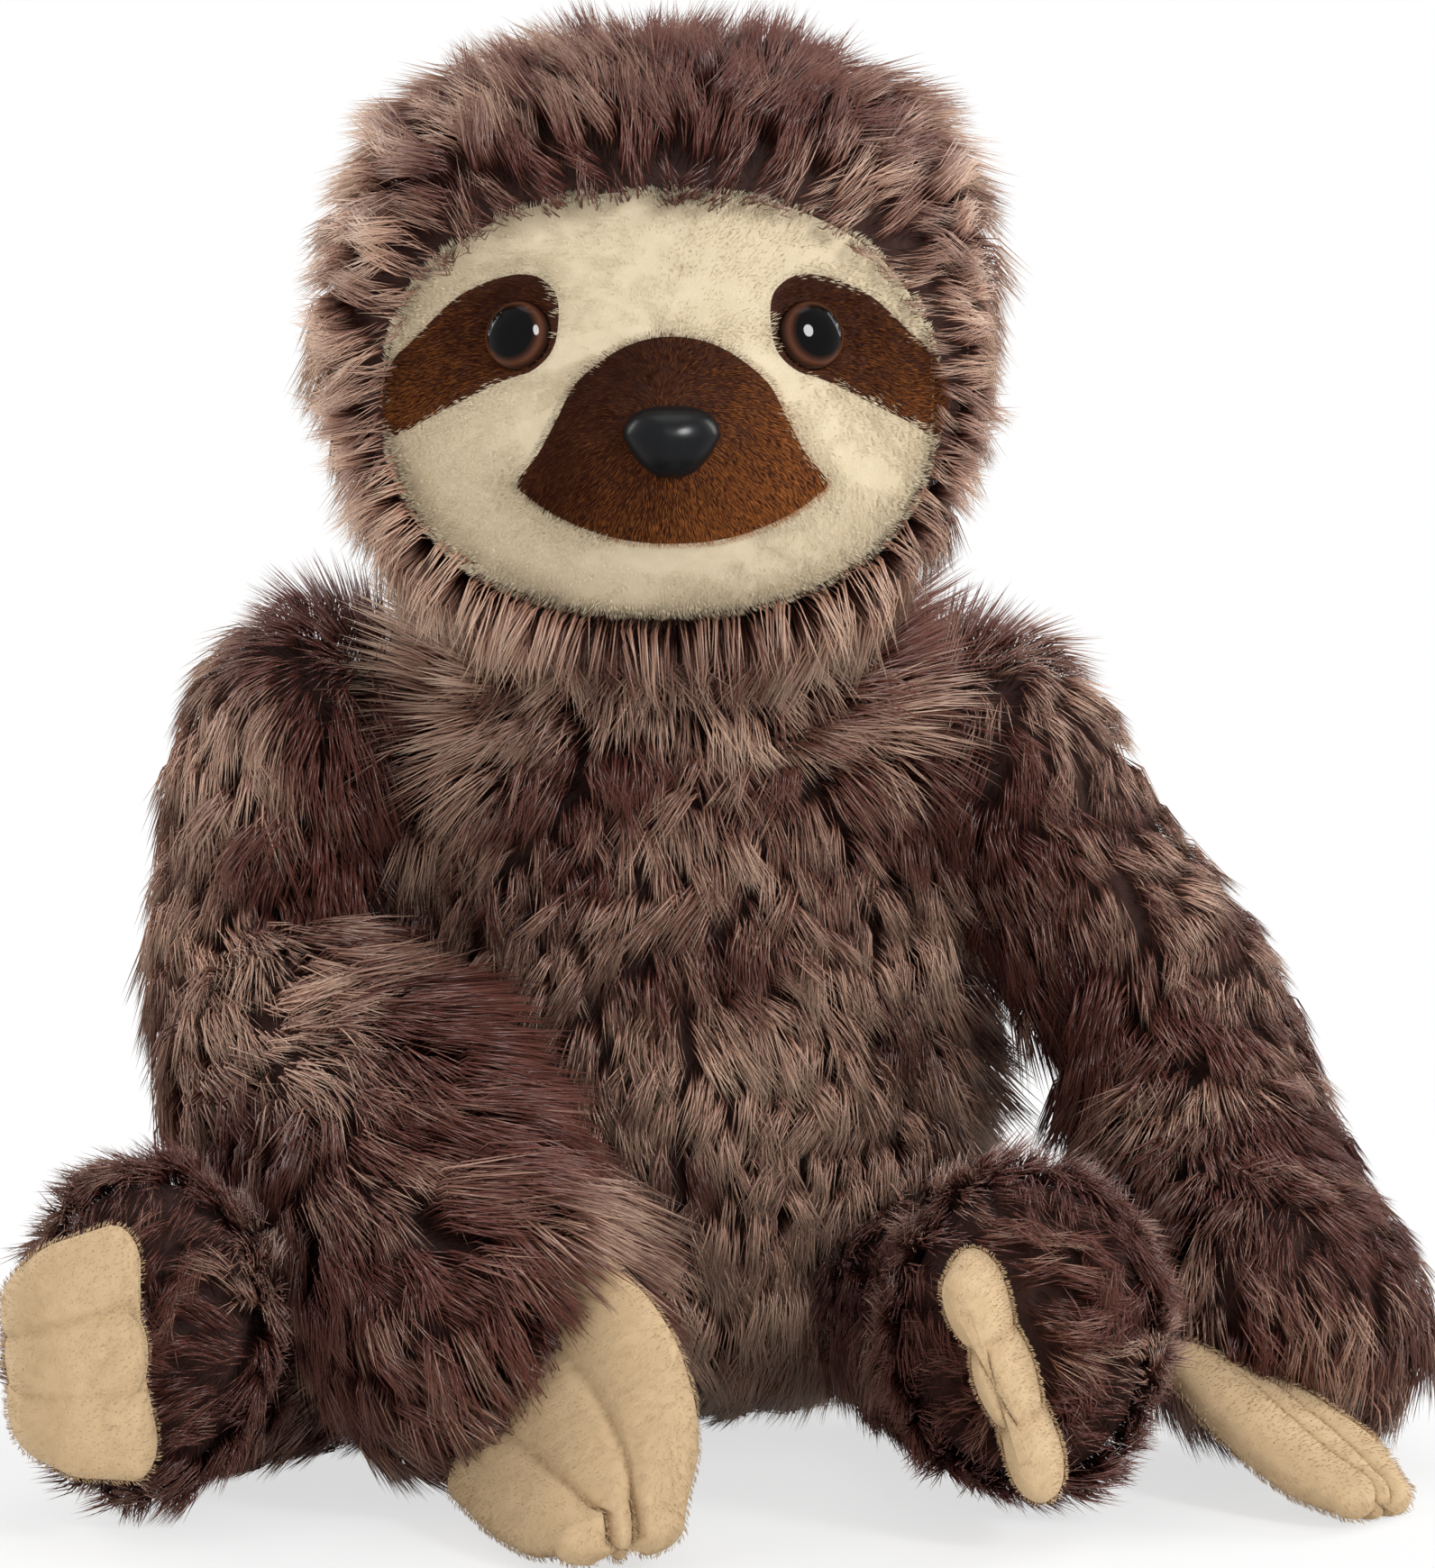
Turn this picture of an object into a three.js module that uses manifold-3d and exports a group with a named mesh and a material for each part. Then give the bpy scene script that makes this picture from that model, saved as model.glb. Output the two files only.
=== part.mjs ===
// A seated plush sloth, in millimetres. +Z is up, the toy faces -Y, and the origin is the middle of the
// flat seat under the body, on the surface it sits on. Left and right are the toy's own, so its right is -X.
// Every stuffed piece is a fur cover over a wad of fibre. Covers are drawn to the middle of their pile.
import * as THREE from "three";
import { mergeVertices } from "three/addons/utils/BufferGeometryUtils.js";
import Module from "manifold-3d";

const wasm = await Module();
wasm.setup();

// Cloth and fits
const pile = 8;
const shortPile = 3;
const clothThickness = 1.6;
const clearance = 0.3;
const seatDepth = 0.5;
const overrun = 60;
const headSides = 24;
const torsoSides = 20;
const limbSides = 12;
const ballSides = 16;
const neckSides = 28;
const rodSides = 8;
const steep = 0.85;
const weld = 0.0001;

// Body
const torso = { height: 155, halfWidth: 58.5, halfDepth: 58, flatHalfWidth: 56, aside: 0, forward: 0 };
// Each row: height, half width, half depth and forward shift, as shares of the sizes above
const torsoShares = [
  [0, 0.58, 0.56, 0],
  [0.05, 0.8, 0.8, 0],
  [0.15, 0.95, 0.96, 0.01],
  [0.3, 1, 1, 0.01],
  [0.48, 1, 0.98, 0.01],
  [0.66, 0.98, 0.9, 0],
  [0.8, 1, 0.8, 0],
  [0.9, 0.98, 0.68, 0],
  [0.96, 0.86, 0.52, 0],
  [0.985, 0.66, 0.38, 0],
];
const torsoBottom = -seatDepth;
const torsoTop = torsoBottom + torso.height;

// Bag of plastic pellets that weights the seat
const pouch = { halfWidth: 30, halfDepth: 22, height: 24, lift: 1.5, back: 10 };
const pouchShares = [
  [0, 0.7, 0.7, 0],
  [0.25, 1, 1, 0],
  [0.6, 0.96, 0.96, 0],
  [0.88, 0.66, 0.66, 0],
];

// Neck
const neckRadius = 29.7;
const neckSink = 15;
const neckPivot = new THREE.Vector3(0, 0, torsoTop - neckSink);

// Head
const headGap = 5.5;
const head = { height: 114.5, halfWidth: 68.5, halfDepth: 57, aside: -2, forward: 0 };
const headShares = [
  [0, 0.42, 0.36, 0.1],
  [0.04, 0.6, 0.62, 0.09],
  [0.09, 0.72, 0.76, 0.08],
  [0.17, 0.84, 0.88, 0.05],
  [0.3, 0.945, 0.96, 0.03],
  [0.45, 0.99, 1, 0.01],
  [0.58, 1, 1, 0],
  [0.7, 0.965, 0.95, 0],
  [0.8, 0.89, 0.87, 0],
  [0.88, 0.79, 0.76, 0],
  [0.945, 0.63, 0.6, 0],
  [0.985, 0.4, 0.38, 0],
];
const headBottom = torsoTop + headGap;

// Face panel, an oval of short-pile cloth that domes forward, with the muzzle raised on it
const face = {
  halfWidth: 54,
  halfHeight: 41.3,
  aside: -2,
  lift: 47,
  rimAtSides: 33,
  rimAtEnds: 44,
  dome: 20,
  roundness: 2.3,
};
const faceHeight = headBottom + face.lift;
const muzzle = { rise: 14, halfWidth: 31.6, height: 42, spreadAcross: 30, spreadUp: 23, aside: 0.4, drop: 9 };
const muzzleRow = faceHeight - muzzle.drop;
const muzzleCentre = faceHeight - muzzle.drop * 0.66;
// The muzzle patch, half of it, as shares of its half width and height from its centre
const muzzleOutlineShares = [
  [0, 0.5],
  [0.22, 0.475],
  [0.42, 0.4],
  [0.62, 0.27],
  [0.74, 0.1],
  [0.86, -0.07],
  [1, -0.22],
  [0.93, -0.285],
  [0.76, -0.37],
  [0.5, -0.45],
  [0.25, -0.49],
  [0, -0.5],
];
const eyePatch = { width: 34, height: 33, inset: 20, lift: 9.5 };
// The eye patch, from its inner upper corner outwards and back, as shares of its width and height
const eyePatchShares = [
  [0.08, 0.46],
  [0.22, 0.5],
  [0.42, 0.45],
  [0.62, 0.34],
  [0.84, 0.12],
  [1, -0.08],
  [1.05, -0.3],
  [0.98, -0.5],
  [0.78, -0.4],
  [0.55, -0.27],
  [0.33, -0.15],
  [0.14, -0.07],
  [0.02, 0.08],
  [0, 0.34],
];

// Eyes and nose, moulded plastic on shanks that lock with washers inside the head
const eye = { radius: 7, rise: 4.6, apart: 56.6, lift: 13.6, middle: -1.1, sides: 20 };
const shank = { radius: 2, length: 13 };
const washer = { radius: 7.5, thickness: 1.4, back: 9, sides: 16 };
const nose = {
  halfWidth: 9.4,
  halfHeight: 8.2,
  rise: 8,
  lift: -4.4,
  sides: 18,
  squareness: 0.7,
  taper: 0.3,
  flatTop: 0.7,
};

// Arms
// The left shoulder slopes: it sits closer in and lower than the right one
const shoulderOut = { right: 77, left: 68 };
const shoulderDrop = { right: 13.5, left: 19.5 };
const upperArm = { girth: 23.5, length: 61 };
// Limb tables: each row is sideways, forward and up as shares of the length, then the thickness across and
// the thickness up as shares of the girth
const rightUpperArmShares = [
  [0, 0, 0, 1, 1],
  [-0.05, -0.06, -0.4, 1.02, 1.02],
  [-0.07, -0.23, -0.97, 1.06, 1.06],
];
const leftUpperArmShares = [
  [0, 0, 0, 1, 1],
  [0.23, -0.06, -0.43, 1.02, 1.02],
  [0.578, -0.17, -0.882, 1.06, 1.06],
];
const forearm = { girth: 25, length: 108 };
const rightForearmShares = [
  [0, 0, 0, 0.98, 0.98],
  [0.06, -0.26, -0.03, 0.92, 0.96],
  [0.2, -0.52, -0.15, 1.1, 1.1],
  [0.35, -0.75, -0.37, 1.26, 1.24],
  [0.41, -0.84, -0.46, 1.26, 1.22],
];
const leftForearmShares = [
  [0, 0, 0, 1, 1],
  [0.05, -0.14, -0.2, 1.08, 1.08],
  [0.11, -0.34, -0.39, 1.18, 1.16],
  [0.16, -0.52, -0.46, 1.26, 1.16],
];
const handEnd = 24;

// Legs
const hipOut = 50;
const hipForward = 34;
const hipHeight = 26;
const leg = { girth: 26, length: 92 };
const rightLegShares = [
  [0, 0, 0, 1, 1],
  [-0.3, -0.27, -0.03, 0.92, 0.95],
  [-0.46, -0.55, 0.02, 0.92, 1.05],
  [-0.53, -0.78, 0.1, 1.02, 1.36],
  [-0.54, -0.9, 0.11, 1.02, 1.38],
];
const leftLegShares = [
  [0, 0, 0, 0.98, 1],
  [0.08, -0.28, -0.03, 0.92, 0.95],
  [0.14, -0.55, 0.02, 0.96, 1.05],
  [0.19, -0.78, 0.1, 1.1, 1.36],
  [0.2, -0.9, 0.11, 1.12, 1.38],
];
const footEnd = 15;

// Claw mitts: a flat stuffed pouch stitched into three fingers. The tables follow its first and its last
// finger; each row is sideways, forward and up as shares of the length
const finger = { thickness: 6, width: 8.4, length: 46, end: 5 };
// Each row: thickness and width as shares of a finger's, and how deep the stitching pulls the cloth in
const fingerShares = [
  [0.86, 0.98, 0.16],
  [1.02, 1.04, 0.24],
  [1, 1.02, 0.3],
  [0.86, 0.9, 0.5],
];
const rightHandMittShares = {
  first: [
    [0, 0, 0],
    [0.21, -0.36, -0.22],
    [0.3, -0.64, -0.52],
    [0.25, -0.82, -0.8],
  ],
  last: [
    [-0.44, 0, -0.72],
    [-0.26, -0.4, -0.77],
    [-0.1, -0.72, -0.8],
    [0.03, -0.9, -0.82],
  ],
};
const leftHandMittShares = {
  first: [
    [0, 0, 0],
    [0.24, -0.3, -0.15],
    [0.5, -0.52, -0.3],
    [0.72, -0.65, -0.39],
  ],
  last: [
    [0.33, 0.09, -0.15],
    [0.54, -0.13, -0.26],
    [0.72, -0.3, -0.33],
    [0.85, -0.41, -0.38],
  ],
};
const rightFootMittShares = {
  first: [
    [0, 0, 0],
    [0.01, -0.22, 0],
    [0.16, -0.38, 0],
    [0.42, -0.42, 0],
  ],
  last: [
    [0.02, 0, -0.68],
    [0.03, -0.22, -0.68],
    [0.2, -0.38, -0.68],
    [0.48, -0.42, -0.68],
  ],
};
const leftFootMittShares = {
  first: [
    [0, 0, 0],
    [-0.01, -0.22, 0.02],
    [-0.05, -0.42, 0.03],
    [-0.13, -0.6, 0.03],
  ],
  last: [
    [0.24, 0, -0.68],
    [0.25, -0.22, -0.69],
    [0.24, -0.42, -0.7],
    [0.2, -0.58, -0.71],
  ],
};
// Where the first finger's root sits against the hand or foot, as shares of that limb's girth from its end
const rightHandRootShares = [0.86, -0.6, 0.5];
const leftHandRootShares = [-0.78, -0.86, -0.3];
const rightFootRootShares = [-0.82, -0.2, 0.57];
const leftFootRootShares = [-0.44, -0.15, 0.38];

// Travel of the joints that piece shapes must leave room for, in degrees
const armTiltDegrees = { right: 15, left: 8 };
const legDrop = 60;
const rightElbowBend = 20;
const leftElbowBend = 45;
const clawBend = 25;
const armBrush = 16;

const furBrown = 0x4b322b;
const fibreWhite = 0xe9e4da;
const creamPlush = 0xe6d6ae;
const saddleBrown = 0x5e2f12;
const clawTan = 0xd9b584;
const plasticBlack = 0x0d0d10;
const nylonWhite = 0xd8d8d4;
const pouchGrey = 0xb8b4aa;

const xAxis = new THREE.Vector3(1, 0, 0);
const zAxis = new THREE.Vector3(0, 0, 1);

// A closed surface through rings of points, with a pole at each end
function ringedSurface(firstPole, rings, lastPole) {
  const sides = rings[0].length;
  const points = [firstPole, ...rings.flat(), lastPole];
  const at = (ring, side) => 1 + ring * sides + (side % sides);
  const faces = [];
  for (let side = 0; side < sides; side++) {
    faces.push(0, at(0, side + 1), at(0, side));
    faces.push(points.length - 1, at(rings.length - 1, side), at(rings.length - 1, side + 1));
    for (let ring = 0; ring + 1 < rings.length; ring++) {
      const [a, b] = [at(ring, side), at(ring, side + 1)];
      const [c, d] = [at(ring + 1, side + 1), at(ring + 1, side)];
      faces.push(a, b, c, a, c, d);
    }
  }
  const geometry = new THREE.BufferGeometry().setFromPoints(points);
  geometry.setIndex(faces);
  return geometry;
}

function toSolid(geometry) {
  const bare = new THREE.BufferGeometry();
  bare.setAttribute("position", geometry.getAttribute("position"));
  bare.setIndex(geometry.index);
  const merged = mergeVertices(bare, weld);
  const mesh = new wasm.Mesh({
    numProp: 3,
    vertProperties: merged.attributes.position.array,
    triVerts: new Uint32Array(merged.index.array),
  });
  return new wasm.Manifold(mesh);
}

function toGeometry(solid) {
  const mesh = solid.getMesh();
  const geometry = new THREE.BufferGeometry();
  geometry.setAttribute("position", new THREE.BufferAttribute(mesh.vertProperties, 3));
  geometry.setIndex(new THREE.BufferAttribute(mesh.triVerts, 1));
  geometry.computeVertexNormals();
  return geometry;
}

// A form of level ellipses, stacked from the bottom up; grow moves its skin outwards
function stackedForm(size, shares, bottom, sides, grow = 0) {
  const level = (share) => bottom - grow + (size.height + 2 * grow) * share;
  const centreY = (forward) => size.forward - size.halfDepth * forward;
  const rings = shares.map(([up, across, deep, forward]) =>
    Array.from({ length: sides }, (_, side) => {
      const angle = (side / sides) * 2 * Math.PI;
      return new THREE.Vector3(
        size.aside + (size.halfWidth * across + grow) * Math.cos(angle),
        centreY(forward) + (size.halfDepth * deep + grow) * Math.sin(angle),
        level(up),
      );
    }),
  );
  const first = shares[0];
  const last = shares[shares.length - 1];
  const below = new THREE.Vector3(size.aside, centreY(first[3]), level(0) - seatDepth);
  const above = new THREE.Vector3(size.aside, centreY(last[3]), level(1));
  return ringedSurface(below, rings, above);
}

// A stuffed limb: a round root about its first point, sections along its line, and a domed end
function limbForm(root, size, shares, end, sides, grow = 0) {
  const points = shares.map(([x, y, z]) => new THREE.Vector3(x, y, z).multiplyScalar(size.length).add(root));
  const wide = shares.map((row) => size.girth * row[3] + grow);
  const tall = shares.map((row) => size.girth * row[4] + grow);
  const last = points.length - 1;
  const wayAt = (i) =>
    new THREE.Vector3().subVectors(points[Math.min(i + 1, last)], points[Math.max(i - 1, 0)]).normalize();
  const whole = new THREE.Vector3().subVectors(points[last], points[0]).normalize();
  const reference = Math.abs(whole.z) > steep ? xAxis : zAxis;
  const ringAt = (centre, way, across, up) => {
    const side = new THREE.Vector3().crossVectors(reference, way).normalize();
    const top = new THREE.Vector3().crossVectors(way, side);
    return Array.from({ length: sides }, (_, i) => {
      const angle = (i / sides) * 2 * Math.PI;
      return centre
        .clone()
        .addScaledVector(side, across * Math.cos(angle))
        .addScaledVector(top, up * Math.sin(angle));
    });
  };
  const rings = [];
  const rootRadius = Math.max(wide[0], tall[0]);
  const rootWay = wayAt(0);
  const domeSteps = [30, 60];
  for (const degrees of domeSteps) {
    const angle = THREE.MathUtils.degToRad(degrees);
    const centre = points[0].clone().addScaledVector(rootWay, -rootRadius * Math.cos(angle));
    rings.push(ringAt(centre, rootWay, wide[0] * Math.sin(angle), tall[0] * Math.sin(angle)));
  }
  points.forEach((point, i) => rings.push(ringAt(point, wayAt(i), wide[i], tall[i])));
  const endWay = wayAt(last);
  const depth = end + grow;
  for (const degrees of domeSteps) {
    const angle = THREE.MathUtils.degToRad(degrees);
    const centre = points[last].clone().addScaledVector(endWay, depth * Math.sin(angle));
    rings.push(ringAt(centre, endWay, wide[last] * Math.cos(angle), tall[last] * Math.cos(angle)));
  }
  const firstPole = points[0].clone().addScaledVector(rootWay, -rootRadius);
  const lastPole = points[last].clone().addScaledVector(endWay, depth);
  return ringedSurface(firstPole, rings, lastPole);
}

function block(from, to) {
  const size = new THREE.Vector3().subVectors(to, from);
  const geometry = new THREE.BoxGeometry(size.x, size.y, size.z);
  geometry.translate(from.x + size.x / 2, from.y + size.y / 2, from.z + size.z / 2);
  return toSolid(geometry);
}

function ball(centre, radius, sides = ballSides) {
  const geometry = new THREE.SphereGeometry(radius, sides, sides / 2);
  geometry.rotateX(Math.PI / 2);
  geometry.translate(centre.x, centre.y, centre.z);
  return toSolid(geometry);
}

// A hollow in which a round end of this radius turns freely, whichever way the flats of both lie
const pocketRadius = (radius, sides = ballSides) => (radius + clearance) / Math.cos(Math.PI / sides) ** 2;

function pocket(centre, radius, sides = ballSides) {
  return ball(centre, pocketRadius(radius, sides), sides);
}

// A rod that starts at a point and runs along a direction
function rod(start, way, radius, length, sides = rodSides) {
  const geometry = new THREE.CylinderGeometry(radius, radius, length, sides);
  geometry.translate(0, length / 2, 0);
  geometry.applyQuaternion(new THREE.Quaternion().setFromUnitVectors(new THREE.Vector3(0, 1, 0), way));
  geometry.translate(start.x, start.y, start.z);
  return toSolid(geometry);
}

function turned(geometry, pivot, axis, degrees) {
  const copy = geometry.clone();
  copy.translate(-pivot.x, -pivot.y, -pivot.z);
  copy.applyMatrix4(new THREE.Matrix4().makeRotationAxis(axis, THREE.MathUtils.degToRad(degrees)));
  copy.translate(pivot.x, pivot.y, pivot.z);
  return copy;
}

function cut(solid, ...tools) {
  return tools.reduce((left, tool) => left.subtract(tool), solid);
}

// The surface that the toy sits on presses every form flat
const underFloor = block(
  new THREE.Vector3(-4 * overrun, -4 * overrun, -overrun),
  new THREE.Vector3(4 * overrun, 4 * overrun, 0),
);

const root = new THREE.Group();
const clothMaterials = new Map();

function materialOf(colour, roughness) {
  const key = `${colour}/${roughness}`;
  if (!clothMaterials.has(key)) {
    clothMaterials.set(key, new THREE.MeshStandardMaterial({ color: colour, roughness, metalness: 0 }));
  }
  return clothMaterials.get(key);
}

function addPiece(name, solid, colour, roughness = 0.95) {
  const mesh = new THREE.Mesh(toGeometry(solid), materialOf(colour, roughness));
  mesh.name = name;
  root.add(mesh);
}

// Where the limbs turn and where they end
const shoulders = {
  right: new THREE.Vector3(-shoulderOut.right, 0, torsoTop - shoulderDrop.right),
  left: new THREE.Vector3(shoulderOut.left, 0, torsoTop - shoulderDrop.left),
};
const hips = {
  right: new THREE.Vector3(-hipOut, -hipForward, hipHeight),
  left: new THREE.Vector3(hipOut, -hipForward, hipHeight),
};
function pointAlong(start, size, row) {
  return new THREE.Vector3(row[0], row[1], row[2]).multiplyScalar(size.length).add(start);
}
const lastOf = (rows) => rows[rows.length - 1];
const elbows = {
  right: pointAlong(shoulders.right, upperArm, lastOf(rightUpperArmShares)),
  left: pointAlong(shoulders.left, upperArm, lastOf(leftUpperArmShares)),
};
const hands = {
  right: pointAlong(elbows.right, forearm, lastOf(rightForearmShares)),
  left: pointAlong(elbows.left, forearm, lastOf(leftForearmShares)),
};
const feet = {
  right: pointAlong(hips.right, leg, lastOf(rightLegShares)),
  left: pointAlong(hips.left, leg, lastOf(leftLegShares)),
};

// A raised arm swings forwards and a little outwards, so that it passes beside the head
function armAxis(side) {
  const tilt = THREE.MathUtils.degToRad(armTiltDegrees[side]);
  return new THREE.Vector3(-Math.cos(tilt), 0, Math.sign(shoulders[side].x) * Math.sin(tilt));
}
const armAxes = { right: armAxis("right"), left: armAxis("left") };

// The bent elbow closes in the plane of its arm. The straight one bends as the arm is raised.
function elbowAxis(shoulder, elbow, hand) {
  const out = new THREE.Vector3().subVectors(hand, elbow).normalize();
  const back = new THREE.Vector3().subVectors(shoulder, elbow).normalize();
  return new THREE.Vector3().crossVectors(out, back).normalize();
}
const elbowAxes = {
  right: elbowAxis(shoulders.right, elbows.right, hands.right),
  left: armAxes.left.clone(),
};

const forearmForm = {
  right: (grow) => limbForm(elbows.right, forearm, rightForearmShares, handEnd, limbSides, grow),
  left: (grow) => limbForm(elbows.left, forearm, leftForearmShares, handEnd, limbSides, grow),
};
const elbowEnd = upperArm.girth / 2;
const upperArmForm = {
  right: (grow) => limbForm(shoulders.right, upperArm, rightUpperArmShares, elbowEnd, limbSides, grow),
  left: (grow) => limbForm(shoulders.left, upperArm, leftUpperArmShares, elbowEnd, limbSides, grow),
};
const legForm = {
  right: (grow) => limbForm(hips.right, leg, rightLegShares, footEnd, limbSides, grow),
  left: (grow) => limbForm(hips.left, leg, leftLegShares, footEnd, limbSides, grow),
};

// One section of a mitt, from the last finger's edge over the outer side to the first's, and back below
function mittRing(ends, way, wide, thick, crease, forward) {
  const [first, last] = ends;
  const across = new THREE.Vector3().subVectors(last, first).normalize();
  const out = new THREE.Vector3().crossVectors(way, across).normalize();
  const place = (share, along, lift, shift) =>
    first
      .clone()
      .lerp(last, share)
      .addScaledVector(across, along)
      .addScaledVector(out, lift)
      .addScaledVector(way, shift);
  const side = (lift) => [
    place(1, wide * Math.SQRT1_2, lift * Math.SQRT1_2, forward / 2),
    place(1, 0, lift, forward),
    place(0.75, 0, lift * (1 - crease), 0),
    place(0.5, 0, lift, forward),
    place(0.25, 0, lift * (1 - crease), 0),
    place(0, 0, lift, forward),
    place(0, -wide * Math.SQRT1_2, lift * Math.SQRT1_2, forward / 2),
  ];
  return [place(1, wide, 0, 0), ...side(thick), place(0, -wide, 0, 0), ...side(-thick).reverse()];
}

// The claw mitts hang from hands and feet by the line through their first and last finger roots
function mittOf(end, size, rootShares, { first, last }) {
  const start = new THREE.Vector3(...rootShares).multiplyScalar(size.girth).add(end);
  const firstLine = first.map((row) => pointAlong(start, finger, row));
  const lastLine = last.map((row) => pointAlong(start, finger, row));
  const middleLine = firstLine.map((point, i) => point.clone().lerp(lastLine[i], 0.5));
  const top = middleLine.length - 1;
  const wayAt = (i) =>
    new THREE.Vector3()
      .subVectors(middleLine[Math.min(i + 1, top)], middleLine[Math.max(i - 1, 0)])
      .normalize();
  const form = (grow) => {
    const ringAt = (i, scale, forward) => {
      const [thick, wide, crease] = fingerShares[i];
      return mittRing(
        [firstLine[i], lastLine[i]],
        wayAt(i),
        (finger.width * wide + grow) * scale,
        (finger.thickness * thick + grow) * scale,
        crease,
        forward,
      );
    };
    const rootDepth = finger.thickness * fingerShares[0][0] + grow;
    const half = Math.SQRT1_2;
    const rootRing = ringAt(0, half, 0).map((point) => point.addScaledVector(wayAt(0), -rootDepth * half));
    const tipRing = ringAt(top, half, (finger.end + grow) * half);
    const rings = [rootRing, ...firstLine.map((_, i) => ringAt(i, 1, 0)), tipRing];
    return ringedSurface(
      middleLine[0].clone().addScaledVector(wayAt(0), -rootDepth),
      rings,
      middleLine[top].clone().addScaledVector(wayAt(top), finger.end + grow),
    );
  };
  return {
    form,
    axis: new THREE.Vector3().subVectors(lastLine[0], firstLine[0]).normalize(),
    back: wayAt(0).negate(),
    rootRadius: finger.thickness * fingerShares[0][0],
    firstRoot: firstLine[0],
    lastRoot: lastLine[0],
    pivot: middleLine[0],
  };
}
const mitts = {
  right_hand: mittOf(hands.right, forearm, rightHandRootShares, rightHandMittShares),
  left_hand: mittOf(hands.left, forearm, leftHandRootShares, leftHandMittShares),
  right_foot: mittOf(feet.right, leg, rightFootRootShares, rightFootMittShares),
  left_foot: mittOf(feet.left, leg, leftFootRootShares, leftFootMittShares),
};
// Positive turns about this axis swing the fingertips away from the hand or foot
const clawAxes = {
  right_hand: mitts.right_hand.axis.clone(),
  left_hand: mitts.left_hand.axis.clone().negate(),
  right_foot: mitts.right_foot.axis.clone(),
  left_foot: mitts.left_foot.axis.clone().negate(),
};

// Room for a mitt: what it sweeps as it bends open, and the rod that its rounded root turns in
function mittRoom(name) {
  const { form, axis, firstRoot, lastRoot, rootRadius, pivot } = mitts[name];
  const sweep = [0, clawBend / 2, clawBend].map((degrees) =>
    toSolid(turned(form(clearance), pivot, clawAxes[name], degrees)),
  );
  const roots = rod(
    firstRoot.clone().addScaledVector(axis, -finger.width - clearance),
    axis,
    pocketRadius(rootRadius),
    firstRoot.distanceTo(lastRoot) + 2 * (finger.width + clearance),
    limbSides,
  );
  return [...sweep, roots];
}

function addTorso() {
  const skin = toSolid(stackedForm(torso, torsoShares, torsoBottom, torsoSides));
  const filled = toSolid(stackedForm(torso, torsoShares, torsoBottom, torsoSides, -pile - clearance));
  const hollow = toSolid(stackedForm(torso, torsoShares, torsoBottom, torsoSides, -pile));
  const [flat, beyond] = [torso.flatHalfWidth, torso.halfWidth + overrun];
  const sides = [-1, 1].map((side) =>
    block(
      new THREE.Vector3(side > 0 ? flat : -beyond, -overrun * 2, -overrun),
      new THREE.Vector3(side > 0 ? beyond : -flat, overrun * 2, torsoTop + overrun),
    ),
  );
  const legRoom = ["right", "left"].flatMap((side) => {
    const outwards = new THREE.Vector3(Math.sign(hips[side].x), 0, 0);
    return [
      rod(hips[side], outwards, pocketRadius(leg.girth), overrun, limbSides),
      pocket(hips[side], leg.girth),
      ...[0, legDrop].map((degrees) =>
        toSolid(turned(legForm[side](clearance), hips[side], xAxis, degrees)),
      ),
    ];
  });
  const neckRoom = pocket(neckPivot, neckRadius, neckSides);
  const armRoom = Object.values(shoulders).map((place) => pocket(place, upperArm.girth + clearance));
  addPiece("body_cover", cut(skin, hollow, neckRoom, underFloor, ...sides, ...armRoom, ...legRoom), furBrown);
  const pouchTop = new THREE.Vector3(torso.aside, pouch.back, pile + pouch.height / 2);
  const underPouch = rod(pouchTop, zAxis.clone().negate(), pouch.halfDepth * 0.8, overrun, limbSides);
  const pouchRoom = [pouchForm(clearance), underPouch];
  addPiece("body_filling", cut(filled, neckRoom, ...pouchRoom, ...armRoom, ...legRoom), fibreWhite);
  addPiece("seat_pellet_pouch", pouchForm(0), pouchGrey);
}

function pouchForm(grow) {
  const size = { ...pouch, aside: torso.aside, forward: pouch.back };
  return toSolid(stackedForm(size, pouchShares, pile + pouch.lift, limbSides, grow));
}

// The outline of the face at an angle, as a share of the way to the rim
function faceRim(angle, share) {
  const power = 2 / face.roundness;
  const bend = (value) => Math.sign(value) * Math.abs(value) ** power;
  return [
    face.aside + face.halfWidth * share * bend(Math.cos(angle)),
    faceHeight + face.halfHeight * share * bend(Math.sin(angle)),
  ];
}

// How far forward the face stands at a place, as a Y value
function faceFront(x, z) {
  const across = (x - face.aside) / face.halfWidth;
  const up = (z - faceHeight) / face.halfHeight;
  const inside = Math.max(0, 1 - across ** 2 - up ** 2);
  const rim = face.rimAtSides + (face.rimAtEnds - face.rimAtSides) * Math.min(1, up ** 2);
  const bumpAcross = (x - muzzle.aside) / muzzle.spreadAcross;
  const bumpUp = (z - muzzleRow) / muzzle.spreadUp;
  return -(rim + face.dome * inside + muzzle.rise * Math.exp(-(bumpAcross ** 2) - bumpUp ** 2));
}

// A solid between two depths behind the face's outline
function faceSolid(front, back, shrink = 0) {
  const rows = [0.35, 0.6, 0.8, 1];
  const sides = headSides + 4;
  const keep = 1 - shrink / face.halfHeight;
  const ringOf = (share, depth) =>
    Array.from({ length: sides }, (_, side) => {
      const [x, z] = faceRim((side / sides) * 2 * Math.PI, share * keep);
      return new THREE.Vector3(x, depth(x, z), z);
    });
  const pole = (depth) => new THREE.Vector3(face.aside, depth(face.aside, faceHeight), faceHeight);
  const behind = rows.map((share) => ringOf(share, back));
  const before = rows.map((share) => ringOf(share, front)).reverse();
  return toSolid(ringedSurface(pole(back), [...behind, ...before], pole(front)));
}

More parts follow.
